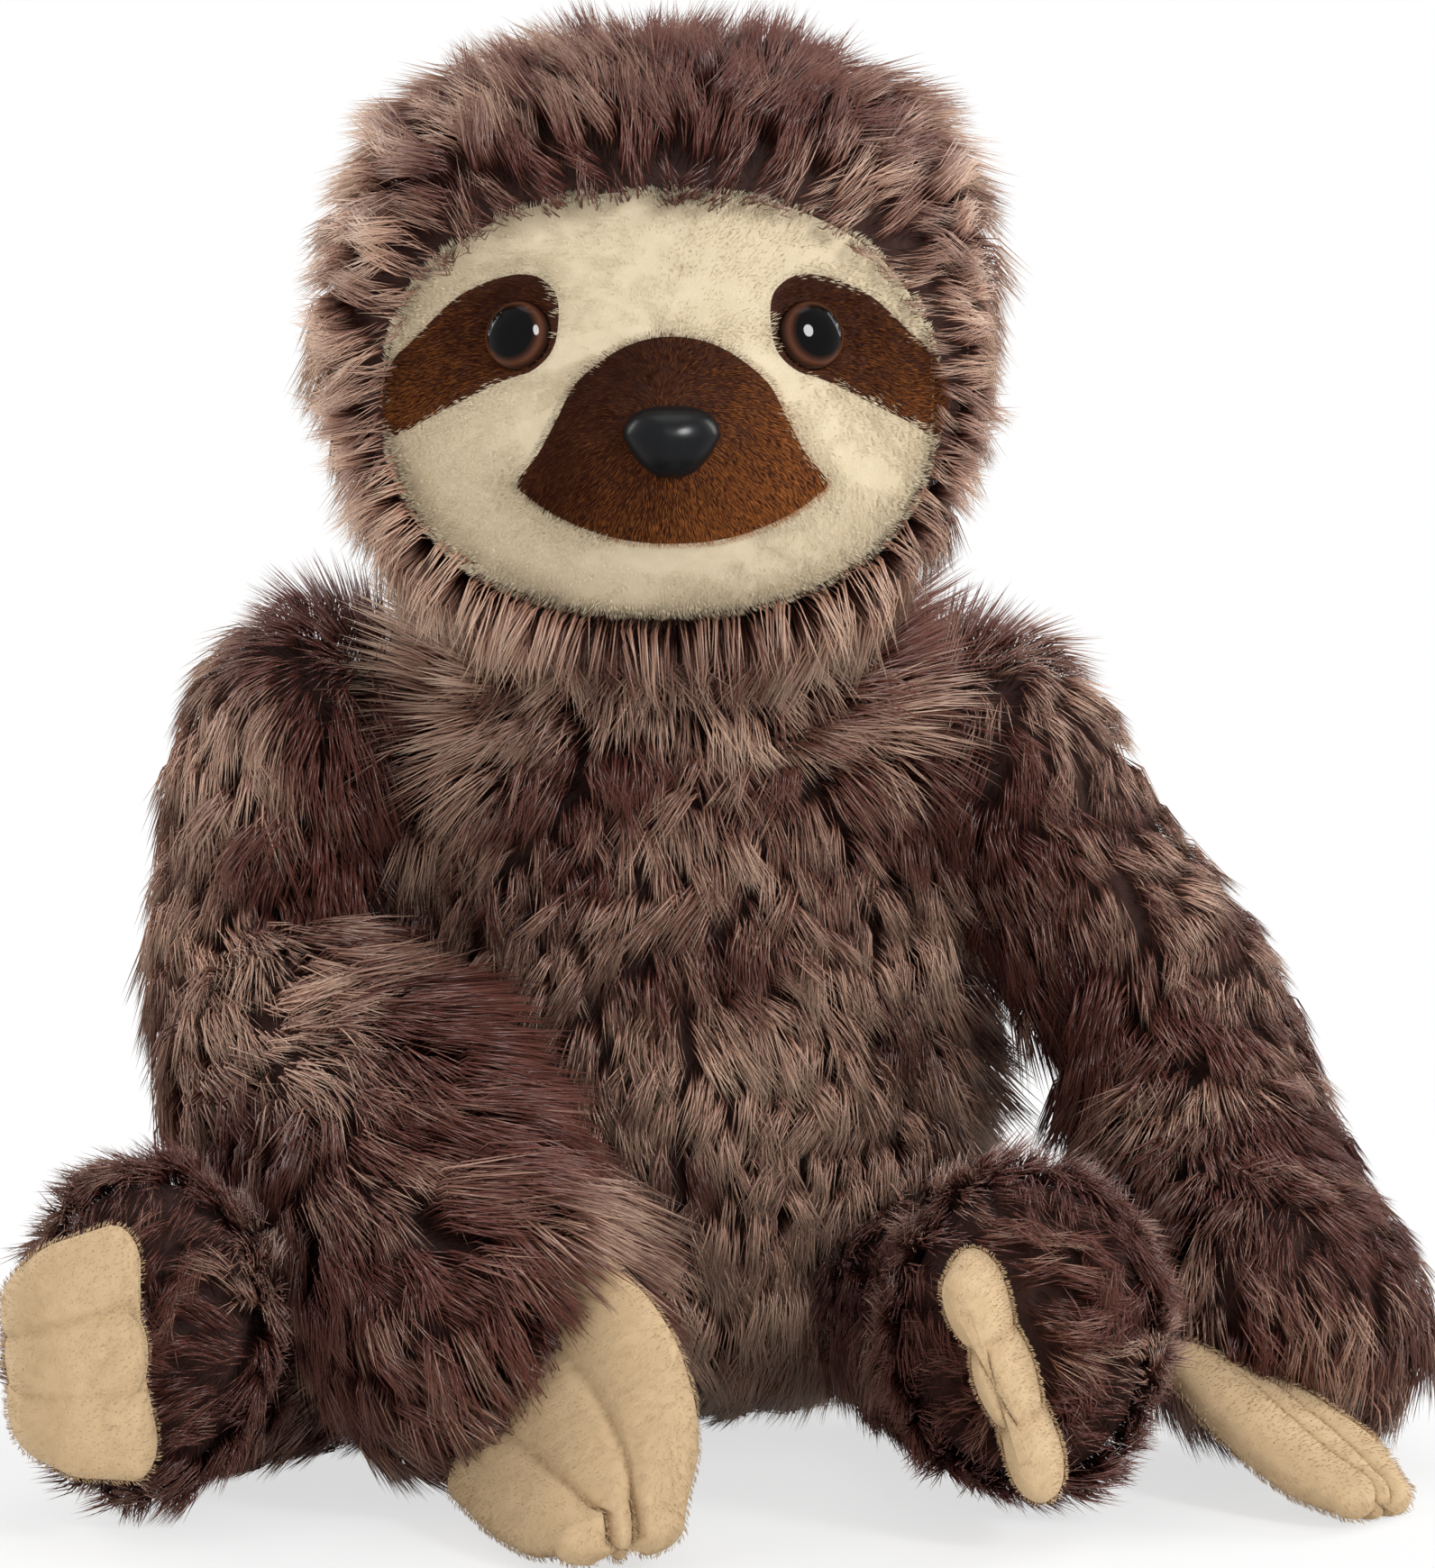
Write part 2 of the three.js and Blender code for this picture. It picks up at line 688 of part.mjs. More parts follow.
// A prism along Y over an outline of [x, z] points
function prism(outline) {
  const shape = new THREE.Shape(outline.map(([x, z]) => new THREE.Vector2(x, z)));
  const geometry = new THREE.ExtrudeGeometry(shape, { depth: 4 * overrun, bevelEnabled: false });
  geometry.rotateX(Math.PI / 2);
  geometry.translate(0, overrun, 0);
  return toSolid(geometry);
}

// The outline grown by a distance along the bisectors of its corners
function grown(outline, by) {
  const turn = Math.sign(THREE.ShapeUtils.area(outline.map(([x, z]) => new THREE.Vector2(x, z))));
  return outline.map(([x, z], i) => {
    const [px, pz] = outline[(i + outline.length - 1) % outline.length];
    const [nx, nz] = outline[(i + 1) % outline.length];
    const along = new THREE.Vector2(nx - px, nz - pz).normalize();
    return [x + along.y * by * turn, z - along.x * by * turn];
  });
}

function muzzleOutline() {
  const half = muzzleOutlineShares.map(([across, up]) => [across * muzzle.halfWidth, up * muzzle.height]);
  const mirrored = half.slice(1, -1).reverse();
  return [...half.map(([x, z]) => [x, z]), ...mirrored.map(([x, z]) => [-x, z])].map(([x, z]) => [
    x + muzzle.aside,
    z + muzzleCentre,
  ]);
}

function eyePatchOutline(side) {
  return eyePatchShares.map(([across, up]) => [
    eye.middle + side * (eyePatch.inset + across * eyePatch.width),
    faceHeight + eyePatch.lift + up * eyePatch.height,
  ]);
}

// The way a point of the face looks
function faceWay(x, z) {
  const step = face.halfWidth / 50;
  const slopeX = (faceFront(x + step, z) - faceFront(x - step, z)) / (2 * step);
  const slopeZ = (faceFront(x, z + step) - faceFront(x, z - step)) / (2 * step);
  return new THREE.Vector3(slopeX, -1, slopeZ).normalize();
}

// A turned plastic part, its profile of [radius, height] pairs running up the axis, aimed along a way
function turnedPart(profile, sides, place, way) {
  const geometry = new THREE.LatheGeometry(
    profile.map(([radius, height]) => new THREE.Vector2(radius, height)),
    sides,
  );
  geometry.applyQuaternion(new THREE.Quaternion().setFromUnitVectors(new THREE.Vector3(0, 1, 0), way));
  geometry.translate(place.x, place.y, place.z);
  return toSolid(geometry);
}

function eyeSolid(place, way) {
  const dome = [0, 20, 40, 60, 80].map((degrees) => {
    const angle = THREE.MathUtils.degToRad(degrees);
    return [eye.radius * Math.cos(angle), clearance + eye.rise * Math.sin(angle)];
  });
  const profile = [
    [0, -shank.length],
    [shank.radius, -shank.length],
    [shank.radius, clearance],
    ...dome,
    [0, clearance + eye.rise],
  ];
  return turnedPart(profile, eye.sides, place, way);
}

function washerSolid(place, way, grow = 0) {
  const inner = shank.radius + clearance - 2 * grow;
  const low = -washer.back - washer.thickness - grow;
  const profile = [
    [inner, low],
    [washer.radius + grow, low],
    [washer.radius + grow, -washer.back + grow],
    [inner, -washer.back + grow],
    [inner, low],
  ];
  return turnedPart(profile, washer.sides, place, way);
}

// The nose is a rounded triangle, broad at the top, domed forward
function noseSolid(place, way) {
  const outline = (share, depth) =>
    Array.from({ length: nose.sides }, (_, side) => {
      const angle = (side / nose.sides) * 2 * Math.PI;
      const [across, up] = [Math.cos(angle), Math.sin(angle)];
      const boxy = Math.sign(across) * Math.abs(across) ** nose.squareness;
      const narrowing = 1 + nose.taper * Math.min(0, up);
      return new THREE.Vector3(
        place.x + nose.halfWidth * share * boxy * narrowing,
        place.y - clearance - depth,
        place.z + nose.halfHeight * share * (up > 0 ? nose.flatTop * up : up),
      );
    });
  const rings = [0, 25, 50, 75].map((degrees) => {
    const angle = THREE.MathUtils.degToRad(degrees);
    return outline(Math.cos(angle), nose.rise * Math.sin(angle));
  });
  const back = new THREE.Vector3(place.x, place.y - clearance, place.z);
  const tip = back.clone().add(new THREE.Vector3(0, -nose.rise, 0));
  const body = toSolid(ringedSurface(back, rings, tip));
  const inside = back.clone().addScaledVector(way, shank.radius / 2);
  return body.add(rod(inside, way.clone().negate(), shank.radius, shank.length));
}

function addHead() {
  const skin = toSolid(stackedForm(head, headShares, headBottom, headSides));
  const hollow = toSolid(stackedForm(head, headShares, headBottom, headSides, -pile));
  const filled = toSolid(stackedForm(head, headShares, headBottom, headSides, -pile - clearance));
  const neckRoom = pocket(neckPivot, neckRadius, neckSides);
  const rim = Array.from({ length: headSides + 4 }, (_, side) =>
    faceRim((side / (headSides + 4)) * 2 * Math.PI, 1 + clearance / face.halfHeight),
  );
  const opening = cut(
    prism(rim),
    block(new THREE.Vector3(-overrun * 2, 0, 0), new THREE.Vector3(overrun * 2, overrun * 4, overrun * 6)),
  );
  addPiece("head_cover", cut(skin, hollow, neckRoom, opening), furBrown);

  const onFace = (x, z) => new THREE.Vector3(x, faceFront(x, z), z);
  const eyeHeight = faceHeight + eye.lift;
  const eyes = { right: eye.middle - eye.apart / 2, left: eye.middle + eye.apart / 2 };
  const noseWay = new THREE.Vector3(0, -1, 0);
  const nosePlace = onFace(muzzle.aside, faceHeight + nose.lift);
  const fixings = [
    ...Object.values(eyes).map((x) => ({ place: onFace(x, eyeHeight), way: faceWay(x, eyeHeight) })),
    { place: nosePlace, way: noseWay },
  ];
  const shankRoom = fixings.map(({ place, way }) => {
    const outside = place.clone().addScaledVector(way, shank.length);
    return rod(outside, way.clone().negate(), shank.radius + clearance, 2.2 * shank.length);
  });
  const washerRoom = fixings.map(({ place, way }) => washerSolid(place, way, clearance));

  const cloth = faceSolid(faceFront, (x, z) => faceFront(x, z) + shortPile);
  const patches = {
    muzzle_patch: muzzleOutline(),
    right_eye_patch: eyePatchOutline(-1),
    left_eye_patch: eyePatchOutline(1),
  };
  const inset = Object.values(patches).map((outline) => prism(grown(outline, clearance)));
  addPiece("face_panel", cut(cloth, ...inset), creamPlush);
  for (const [name, outline] of Object.entries(patches)) {
    addPiece(name, cut(cloth.intersect(prism(outline)), ...shankRoom), saddleBrown);
  }

  const behind = (x, z) => faceFront(x, z) + shortPile + 2 * clearance;
  const bulge = faceSolid(behind, () => -face.rimAtSides / 2, clearance);
  const inFront = faceSolid(() => -overrun * 3, behind, -shortPile);
  const filling = cut(filled, inFront).add(bulge);
  addPiece("head_filling", cut(filling, neckRoom, ...shankRoom, ...washerRoom), fibreWhite);

  for (const [side, x] of Object.entries(eyes)) {
    const place = onFace(x, eyeHeight);
    const way = faceWay(x, eyeHeight);
    addPiece(`${side}_eye`, eyeSolid(place, way), plasticBlack, 0.08);
    addPiece(`${side}_eye_washer`, washerSolid(place, way), nylonWhite, 0.5);
  }
  addPiece("nose", noseSolid(nosePlace, noseWay), plasticBlack, 0.35);
  addPiece("nose_washer", washerSolid(nosePlace, noseWay), nylonWhite, 0.5);
}

function addArm(side, bends) {
  // The arm's flank lies flat against the body, below the ball that turns in the body's pocket
  const beside = Math.sign(shoulders[side].x);
  const seam = torso.flatHalfWidth + 2 * clearance;
  const bodySpace = block(
    new THREE.Vector3(beside > 0 ? 0 : -seam, -overrun * 2, -overrun),
    new THREE.Vector3(beside > 0 ? seam : 0, overrun * 2, shoulders[side].z),
  );
  const inward = new THREE.Vector3(-beside, 0, 0);
  const stuffingHole = rod(shoulders[side], inward, upperArm.girth / 3, overrun);
  const bent = (degrees) =>
    toSolid(turned(forearmForm[side](2 * clearance), elbows[side], elbowAxes[side], degrees));
  const forearmRoom = [pocket(elbows[side], forearm.girth), ...bends.map(bent)];
  const skin = toSolid(upperArmForm[side](0));
  const hollow = toSolid(upperArmForm[side](-pile));
  const filled = toSolid(upperArmForm[side](-pile - clearance));
  addPiece(`${side}_upper_arm_cover`, cut(skin, hollow, bodySpace, stuffingHole, ...forearmRoom), furBrown);
  addPiece(`${side}_upper_arm_filling`, cut(filled, bodySpace, ...forearmRoom), fibreWhite);

  const towardsShoulder = new THREE.Vector3().subVectors(shoulders[side], elbows[side]).normalize();
  const sleeveHole = rod(elbows[side], towardsShoulder, forearm.girth / 3, overrun);
  const clawRoom = mittRoom(`${side}_hand`);
  const lowerSkin = toSolid(forearmForm[side](0));
  const lowerHollow = toSolid(forearmForm[side](-pile));
  const lowerFilled = toSolid(forearmForm[side](-pile - clearance));
  const lowerRoom = [sleeveHole, underFloor, ...clawRoom];
  addPiece(`${side}_forearm_cover`, cut(lowerSkin, lowerHollow, ...lowerRoom), furBrown);
  addPiece(`${side}_forearm_filling`, cut(lowerFilled, ...clawRoom), fibreWhite);
}

function addLeg(side, leanedOn) {
  const skin = toSolid(legForm[side](0));
  const hollow = toSolid(legForm[side](-pile));
  const filled = toSolid(legForm[side](-pile - clearance));
  const backwards = new THREE.Vector3(0, 1, 0);
  const stuffingHole = rod(hips[side], backwards, leg.girth / 3, overrun);
  const clawRoom = mittRoom(`${side}_foot`);
  const room = [underFloor, ...clawRoom, ...leanedOn];
  addPiece(`${side}_leg_cover`, cut(skin, hollow, stuffingHole, ...room), furBrown);
  addPiece(`${side}_leg_filling`, cut(filled, ...room), fibreWhite);
}

// The mitt's cloth, open where it is sewn on, and the thin wad in it
function addMitt(name) {
  const mitt = mitts[name];
  const openEnd = rod(
    mitt.firstRoot.clone().addScaledVector(mitt.back, mitt.rootRadius),
    mitt.axis,
    mitt.rootRadius / 2,
    mitt.firstRoot.distanceTo(mitt.lastRoot),
  );
  const cloth = cut(toSolid(mitt.form(0)), toSolid(mitt.form(-clothThickness)), openEnd, underFloor);
  addPiece(`${name}_claw_mitt`, cloth, clawTan);
  const wad = toSolid(mitt.form(-clothThickness - clearance));
  addPiece(`${name}_claw_filling`, cut(wad, underFloor), fibreWhite);
}

addTorso();
addPiece("neck_filling", ball(neckPivot, neckRadius, neckSides), fibreWhite);
addHead();
addArm("right", [0, rightElbowBend]);
addArm("left", [0, leftElbowBend / 2, leftElbowBend]);
// The right forearm lies over the thigh, which gives way to it as far as either brushes past
const overThigh = forearmForm.right(4 * clearance);
const forearmBrush = [0, 0.25, 0.5, 0.75, 1].map((share) =>
  toSolid(turned(overThigh, shoulders.right, armAxes.right, armBrush * share)),
);
addLeg("right", [...forearmBrush, toSolid(turned(overThigh, hips.right, xAxis, -armBrush))]);
addLeg("left", []);
Object.keys(mitts).forEach(addMitt);

// Pivots and turning axes, for whoever poses the toy
root.userData.joints = {
  neckPivot,
  shoulders,
  armAxes,
  elbows,
  elbowAxes,
  hips,
  hands,
  feet,
  clawAxes,
  mitts,
};

export default root;
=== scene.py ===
"""A seated plush sloth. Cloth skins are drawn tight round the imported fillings, and Geometry Nodes
grow the pile on them: long frosted fur on the head, the body and the limbs, and short plush on the
face, its patches and the claw mitts."""

import math

import bpy
import numpy as np
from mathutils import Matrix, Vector, noise
from mathutils.bvhtree import BVHTree


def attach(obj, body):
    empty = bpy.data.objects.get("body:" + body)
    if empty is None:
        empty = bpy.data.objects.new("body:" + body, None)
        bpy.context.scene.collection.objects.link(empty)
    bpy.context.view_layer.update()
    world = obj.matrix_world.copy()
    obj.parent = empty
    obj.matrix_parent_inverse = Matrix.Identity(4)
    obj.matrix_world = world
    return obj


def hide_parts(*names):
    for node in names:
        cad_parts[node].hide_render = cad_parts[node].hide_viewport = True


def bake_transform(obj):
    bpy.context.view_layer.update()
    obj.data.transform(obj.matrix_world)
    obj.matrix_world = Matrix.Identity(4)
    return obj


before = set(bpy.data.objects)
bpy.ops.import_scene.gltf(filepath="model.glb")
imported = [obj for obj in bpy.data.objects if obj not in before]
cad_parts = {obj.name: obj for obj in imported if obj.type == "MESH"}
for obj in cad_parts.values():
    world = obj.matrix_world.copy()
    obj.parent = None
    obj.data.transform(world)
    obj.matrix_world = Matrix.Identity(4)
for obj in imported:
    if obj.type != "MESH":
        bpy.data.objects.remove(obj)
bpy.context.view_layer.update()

MM = 0.001

# The camera, as the photograph was taken
PICTURE_WIDTH, PICTURE_HEIGHT = 1592, 1740
LOOKS_AT = Vector((9.2, -20, 129)) * MM
CAMERA_DISTANCE = 1600 * MM
CAMERA_RISE = math.radians(7.2)
SEEN_HEIGHT = 313.2 * MM

# Lines that the limbs follow, root first, in millimetres. Left and right are the toy's own.
ARM_LINES = {
    "right": [
        (-77, 0, 141),
        (-80, -3.7, 116.6),
        (-81.3, -14, 81.8),
        (-74.8, -42.1, 78.6),
        (-59.7, -70.2, 65.6),
        (-43.5, -95, 41.9),
        (-37, -104.8, 32.2),
    ],
    "left": [
        (68, 0, 135),
        (82, -3.7, 108.8),
        (103.3, -10.4, 81.2),
        (108.6, -25.5, 59.6),
        (115.1, -47.1, 39.1),
        (120.5, -66.5, 31.5),
    ],
}
ELBOWS = {"right": (-81.27, -14.03, 81.83), "left": (103.26, -10.37, 81.2)}
LEG_LINES = {
    "right": [
        (-50, -34, 26),
        (-77.6, -58.8, 23.2),
        (-92.3, -84.6, 27.8),
        (-98.8, -105.8, 35.2),
        (-99.7, -116.8, 36.1),
    ],
    "left": [
        (50, -34, 26),
        (57.4, -59.8, 23.2),
        (62.9, -84.6, 27.8),
        (67.5, -105.8, 35.2),
        (68.4, -116.8, 36.1),
    ],
}

# The face panel, an oval that domes forward with the muzzle raised on it, in millimetres
FACE_ASIDE, FACE_HEIGHT = -2, 207
FACE_HALF_WIDTH, FACE_HALF_HEIGHT = 54, 41.3
FACE_ROUNDNESS = 2.3
RIM_AT_SIDES, RIM_AT_ENDS, FACE_DOME = 33, 44, 20
MUZZLE_RISE, MUZZLE_ASIDE, MUZZLE_ROW = 14, 0.4, 198
MUZZLE_ACROSS, MUZZLE_UP = 30, 23
MUZZLE_CENTRE = (0.4, 201.06)
MUZZLE_SIZE = (31.6, 42)
# Half the muzzle patch, as shares of its half width and its height
MUZZLE_OUTLINE = [
    (0, 0.5),
    (0.22, 0.475),
    (0.42, 0.4),
    (0.62, 0.27),
    (0.74, 0.1),
    (0.86, -0.07),
    (1, -0.22),
    (0.93, -0.285),
    (0.76, -0.37),
    (0.5, -0.45),
    (0.25, -0.49),
    (0, -0.5),
]
EYE_PATCH_SIZE, EYE_PATCH_INSET, EYE_PATCH_LIFT = (34, 33), 20, 9.5
# The eye patch from its inner upper corner outwards and back, as shares of its size
EYE_PATCH_OUTLINE = [
    (0.08, 0.46),
    (0.22, 0.5),
    (0.42, 0.45),
    (0.62, 0.34),
    (0.84, 0.12),
    (1, -0.08),
    (1.05, -0.3),
    (0.98, -0.5),
    (0.78, -0.4),
    (0.55, -0.27),
    (0.33, -0.15),
    (0.14, -0.07),
    (0.02, 0.08),
    (0, 0.34),
]
EYE_MIDDLE, EYE_APART, EYE_LIFT = -1.1, 56.6, 13.6
EYE_RADIUS, EYE_RISE = 7, 4.6
NOSE_LIFT = -4.4
NOSE_SIZE, NOSE_RISE = (9.4, 8.2), 8

# The claw mitts. Each has its root in millimetres, and from there the lines of its first and last
# fingers as shares of its length. "stitch" is how deep its seams go, "rounding" how far the corners
# of its root are drawn in, and "thickness" how full it is.
MITT_THICKNESS, MITT_WIDTH, MITT_LENGTH, MITT_END = 6, 8.4, 46, 5
# From root to tip: thickness, width past the line and depth of the stitching, as shares
MITT_SECTIONS = [(0.86, 0.98, 0.16), (1.02, 1.04, 0.24), (1, 1.02, 0.3), (0.86, 0.9, 0.5)]
MITT_LINES = {
    "right_hand": {
        "root": (-15.49, -119.75, 44.65),
        "first": [(0, 0, 0), (0.21, -0.36, -0.22), (0.3, -0.64, -0.52), (0.25, -0.82, -0.8)],
        "last": [(-0.44, 0, -0.72), (-0.26, -0.4, -0.77), (-0.1, -0.72, -0.8), (0.03, -0.9, -0.82)],
        "stitch": 1,
    },
    "left_hand": {
        "root": (101.01, -88.03, 24.04),
        "first": [(0, 0, 0), (0.22, -0.3, -0.17), (0.44, -0.54, -0.32), (0.62, -0.68, -0.4)],
        "last": [
            (0.28, 0.14, -0.13),
            (0.48, -0.09, -0.24),
            (0.65, -0.3, -0.34),
            (0.76, -0.48, -0.44),
        ],
        "stitch": 0.7,
        "thickness": 0.88,
    },
    "right_foot": {
        "root": (-120, -122, 50.94),
        "first": [
            (0.04, 0, -0.22),
            (0.03, -0.22, -0.15),
            (0.15, -0.38, -0.03),
            (0.37, -0.42, 0.07),
        ],
        "last": [(0.04, 0, -0.5), (0.05, -0.22, -0.56), (0.2, -0.38, -0.62), (0.43, -0.42, -0.65)],
        "stitch": 0.55,
        "rounding": 0.3,
    },
    "left_foot": {
        "root": (56.96, -120.7, 46),
        "first": [(0.03, 0, 0), (0.03, -0.22, 0.02), (0.01, -0.42, 0.03), (-0.03, -0.6, 0.03)],
        "last": [(0.22, 0, -0.58), (0.24, -0.22, -0.6), (0.25, -0.42, -0.61), (0.23, -0.58, -0.62)],
        "stitch": 0.6,
        "rounding": 0.2,
        "thickness": 0.82,
    },
}

# A mitt's sections, how many of them its rounded root takes up, and the degrees of the further
# sections that close its two ends
MITT_STATIONS, ROUNDED_STATIONS = 34, 12
ROOT_TURNS, TIP_TURNS, MITT_TIP_INSET = (60, 35, 12), (20, 40, 58, 74), 1.5
# How many points each face of a section has, and the degrees of those round its edges
MITT_ACROSS, EDGE_TURNS = 33, range(15, 90, 15)
# The fingers part over the last share of a mitt, at most by this many millimetres
FINGERS_FROM, FINGERS_RUN, FINGERS_SPLIT = 0.72, 0.28, 5.5
# The seams between the fingers, as places and a width across the mitt
MITT_SEAMS, SEAM_WIDTH = (0.25, 0.75), 0.035
CRUMPLE_REACH, CRUMPLE_DEPTH = 9, 0.25

FLOOR_GAP = 0.0003
BAKE_MAP = "OFBake"
NEAR_ZERO = 1e-9


def link(name, mesh):
    made = bpy.data.objects.new(name, mesh)
    bpy.context.scene.collection.objects.link(made)
    return made


def mesh_of(name, points, faces, smooth=True):
    mesh = bpy.data.meshes.new(name)
    mesh.from_pydata([tuple(p) for p in points], [], faces)
    mesh.polygons.foreach_set("use_smooth", [smooth] * len(mesh.polygons))
    mesh.update()
    return mesh


def evaluated_mesh(piece):
    """The piece's mesh with its modifiers applied"""
    graph = bpy.context.evaluated_depsgraph_get()
    return bpy.data.meshes.new_from_object(
        piece.evaluated_get(graph), preserve_all_data_layers=True, depsgraph=graph
    )


def points_of(mesh):
    co = np.empty(len(mesh.vertices) * 3, np.float32)
    mesh.vertices.foreach_get("co", co)
    return co.reshape(-1, 3).astype(float)


def normals_of(mesh):
    ways = np.empty(len(mesh.vertices) * 3, np.float32)
    mesh.vertices.foreach_get("normal", ways)
    return ways.reshape(-1, 3).astype(float)


def unit(vectors):
    return vectors / np.maximum(np.linalg.norm(vectors, axis=-1, keepdims=True), NEAR_ZERO)


def move_points(mesh, points):
    mesh.vertices.foreach_set("co", points.ravel())
    mesh.update()


def climb(values, start, reach):
    """0 up to the start, 1 from a reach beyond it"""
    return np.clip((values - start) / reach, 0, 1)


def rise_over(points, low, high):
    """0 below the first height in millimetres, 1 above the second"""
    return climb(points[:, 2] / MM, low, high - low)


def from_middle(points):
    """How far each place is to the left or right of the toy's middle, in millimetres"""
    return np.abs(points[:, 0]) / MM


def from_face_middle(points):
    return np.abs(points[:, 0] / MM - FACE_ASIDE)


def put(mesh, name, values):
    """Stores one number or vector for each vertex"""
    values = np.asarray(values, np.float32)
    kind = "FLOAT" if values.ndim == 1 else "FLOAT_VECTOR"
    layer = mesh.attributes.new(name, kind, "POINT")
    layer.data.foreach_set("value" if values.ndim == 1 else "vector", values.ravel())


def ringed_faces(rings, sides):
    """Faces of a closed form: a first pole, rings of points, and a last pole"""

    def at(ring, side):
        return 1 + ring * sides + side % sides

    faces = []
    for side in range(sides):
        faces.append((0, at(0, side + 1), at(0, side)))
        faces.append((1 + rings * sides, at(rings - 1, side), at(rings - 1, side + 1)))
        for ring in range(rings - 1):
            near = at(ring, side), at(ring, side + 1)
            far = at(ring + 1, side + 1), at(ring + 1, side)
            faces.append((*near, *far))
    return faces


def ringed(name, first, rings, last):
    points = [first, *[p for ring in rings for p in ring], last]
    mesh = mesh_of(name, points, ringed_faces(len(rings), len(rings[0])))
    if volume_of(mesh) < 0:
        mesh.flip_normals()
    return mesh


def volume_of(mesh):
    total = 0.0
    mesh.calc_loop_triangles()
    for triangle in mesh.loop_triangles:
        a, b, c = (mesh.vertices[i].co for i in triangle.vertices)
        total += a.dot(b.cross(c))
    return total / 6


# Cloth skins

SKIN_VOXEL = 0.004
SAME_PLACE = 1e-6
STUFFING_FRAMES, STUFFING_PRESSURE, CLOTH_QUALITY = 20, 4, 4
# How far a point may move while its skin is stuffed
STUFFING_REACH = 0.0016
# The tube that joins an arm's two fillings: its girth in millimetres, and how far its ends dome
SLEEVE_GIRTH, SLEEVE_DOME, SLEEVE_RINGS, SLEEVE_SIDES = 16.5, 0.7, 14, 20


def sleeve(line):
    """A round tube with domed ends along a line in millimetres, which joins two wads in one skin"""
    line = smooth_rows(np.array(line, float), SLEEVE_RINGS)
    ways = unit(np.gradient(line, axis=0))
    angles = np.linspace(0, 2 * math.pi, SLEEVE_SIDES, endpoint=False)[:, None]
    rings = []
    for place, way in zip(line, ways):
        across = unit(np.cross(way, [0.3, 1, 0.2]))
        up = np.cross(across, way)
        rings.append((place + SLEEVE_GIRTH * (np.cos(angles) * across + np.sin(angles) * up)) * MM)
    ends = []
    for i, sign in ((0, -1), (-1, 1)):
        ends.append((line[i] + sign * SLEEVE_DOME * SLEEVE_GIRTH * ways[i]) * MM)
    points = [ends[0], *[p for ring in rings for p in ring], ends[1]]
    return [tuple(p) for p in points], ringed_faces(len(rings), SLEEVE_SIDES)


def skin_round(name, nodes, passes, swell, joined_by=None):
    """One closed skin drawn tight round some packed fillings, then stuffed"""
    points, faces = joined_by or ([], [])
    for filling in nodes:
        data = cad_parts[filling].data
        start = len(points)
        points.extend(tuple(v.co) for v in data.vertices)
        faces.extend(tuple(start + i for i in p.vertices) for p in data.polygons)
    wad = link(name + "_wad", mesh_of(name + "_wad", points, faces))
    weld = wad.modifiers.new("weld", "WELD")
    weld.merge_threshold = SAME_PLACE
    remesh = wad.modifiers.new("remesh", "REMESH")
    remesh.mode = "VOXEL"
    remesh.voxel_size = SKIN_VOXEL
    smooth = wad.modifiers.new("smooth", "SMOOTH")
    smooth.factor, smooth.iterations = 0.5, passes
    push = wad.modifiers.new("push", "DISPLACE")
    push.mid_level, push.strength = 0, swell
    mesh = largest_part(evaluated_mesh(wad), name)
    bpy.data.objects.remove(wad)
    skin = link(name, mesh)
    stuff(skin)
    round_off = skin.modifiers.new("round off", "SUBSURF")
    round_off.levels = round_off.render_levels = 1
    skin.data = evaluated_mesh(skin)
    skin.modifiers.clear()
    return skin


def stuff(skin):
    """Blows the skin up as its filling does, with no point moving further than the cloth gives"""
    before = points_of(skin.data)
    simulated = skin.modifiers.new("cloth", "CLOTH")
    simulated.settings.quality = CLOTH_QUALITY
    simulated.settings.use_pressure = True
    simulated.settings.uniform_pressure_force = STUFFING_PRESSURE
    simulated.settings.effector_weights.gravity = 0
    simulated.point_cache.frame_start, simulated.point_cache.frame_end = 1, STUFFING_FRAMES
    for step in range(1, STUFFING_FRAMES + 1):
        bpy.context.scene.frame_set(step)
    after = points_of(evaluated_mesh(skin))
    skin.modifiers.clear()
    bpy.context.scene.frame_set(1)
    moved = after - before
    far = np.linalg.norm(moved, axis=1, keepdims=True)
    before += moved * np.minimum(1, STUFFING_REACH / np.maximum(far, NEAR_ZERO))
    move_points(skin.data, before)


def largest_part(mesh, name):
    """Leaves out what the remesh closed off inside"""
    neighbours = [[] for _ in mesh.vertices]
    for edge in mesh.edges:
        a, b = edge.vertices
        neighbours[a].append(b)
        neighbours[b].append(a)
    part = np.full(len(neighbours), -1)
    count = 0
    for seed in range(len(neighbours)):
        if part[seed] >= 0:
            continue
        part[seed] = count
        waiting = [seed]
        while waiting:
            for other in neighbours[waiting.pop()]:
                if part[other] < 0:
                    part[other] = count
                    waiting.append(other)
        count += 1
    best = np.bincount(part).argmax()
    index = np.cumsum(part == best) - 1
    points = points_of(mesh)[part == best]
    faces = []
    for polygon in mesh.polygons:
        if part[polygon.vertices[0]] == best:
            faces.append(tuple(int(index[i]) for i in polygon.vertices))
    return mesh_of(name, points, faces)


# Shader and Geometry Nodes trees


def node(tree, kind, feeds=None, **settings):
    """One node of a tree. Feeds give an input, by name or number, a value or what drives it."""
    made = tree.nodes.new(kind)
    for key, value in settings.items():
        setattr(made, key, value)
    for key, value in (feeds or {}).items():
        socket = made.inputs[key]
        if isinstance(value, bpy.types.NodeSocket):
            tree.links.new(value, socket)
        else:
            socket.default_value = value
    return made


def maths(tree, operation, *terms, clamp=False):
    feeds = dict(enumerate(terms))
    return node(tree, "ShaderNodeMath", feeds, operation=operation, use_clamp=clamp).outputs[0]


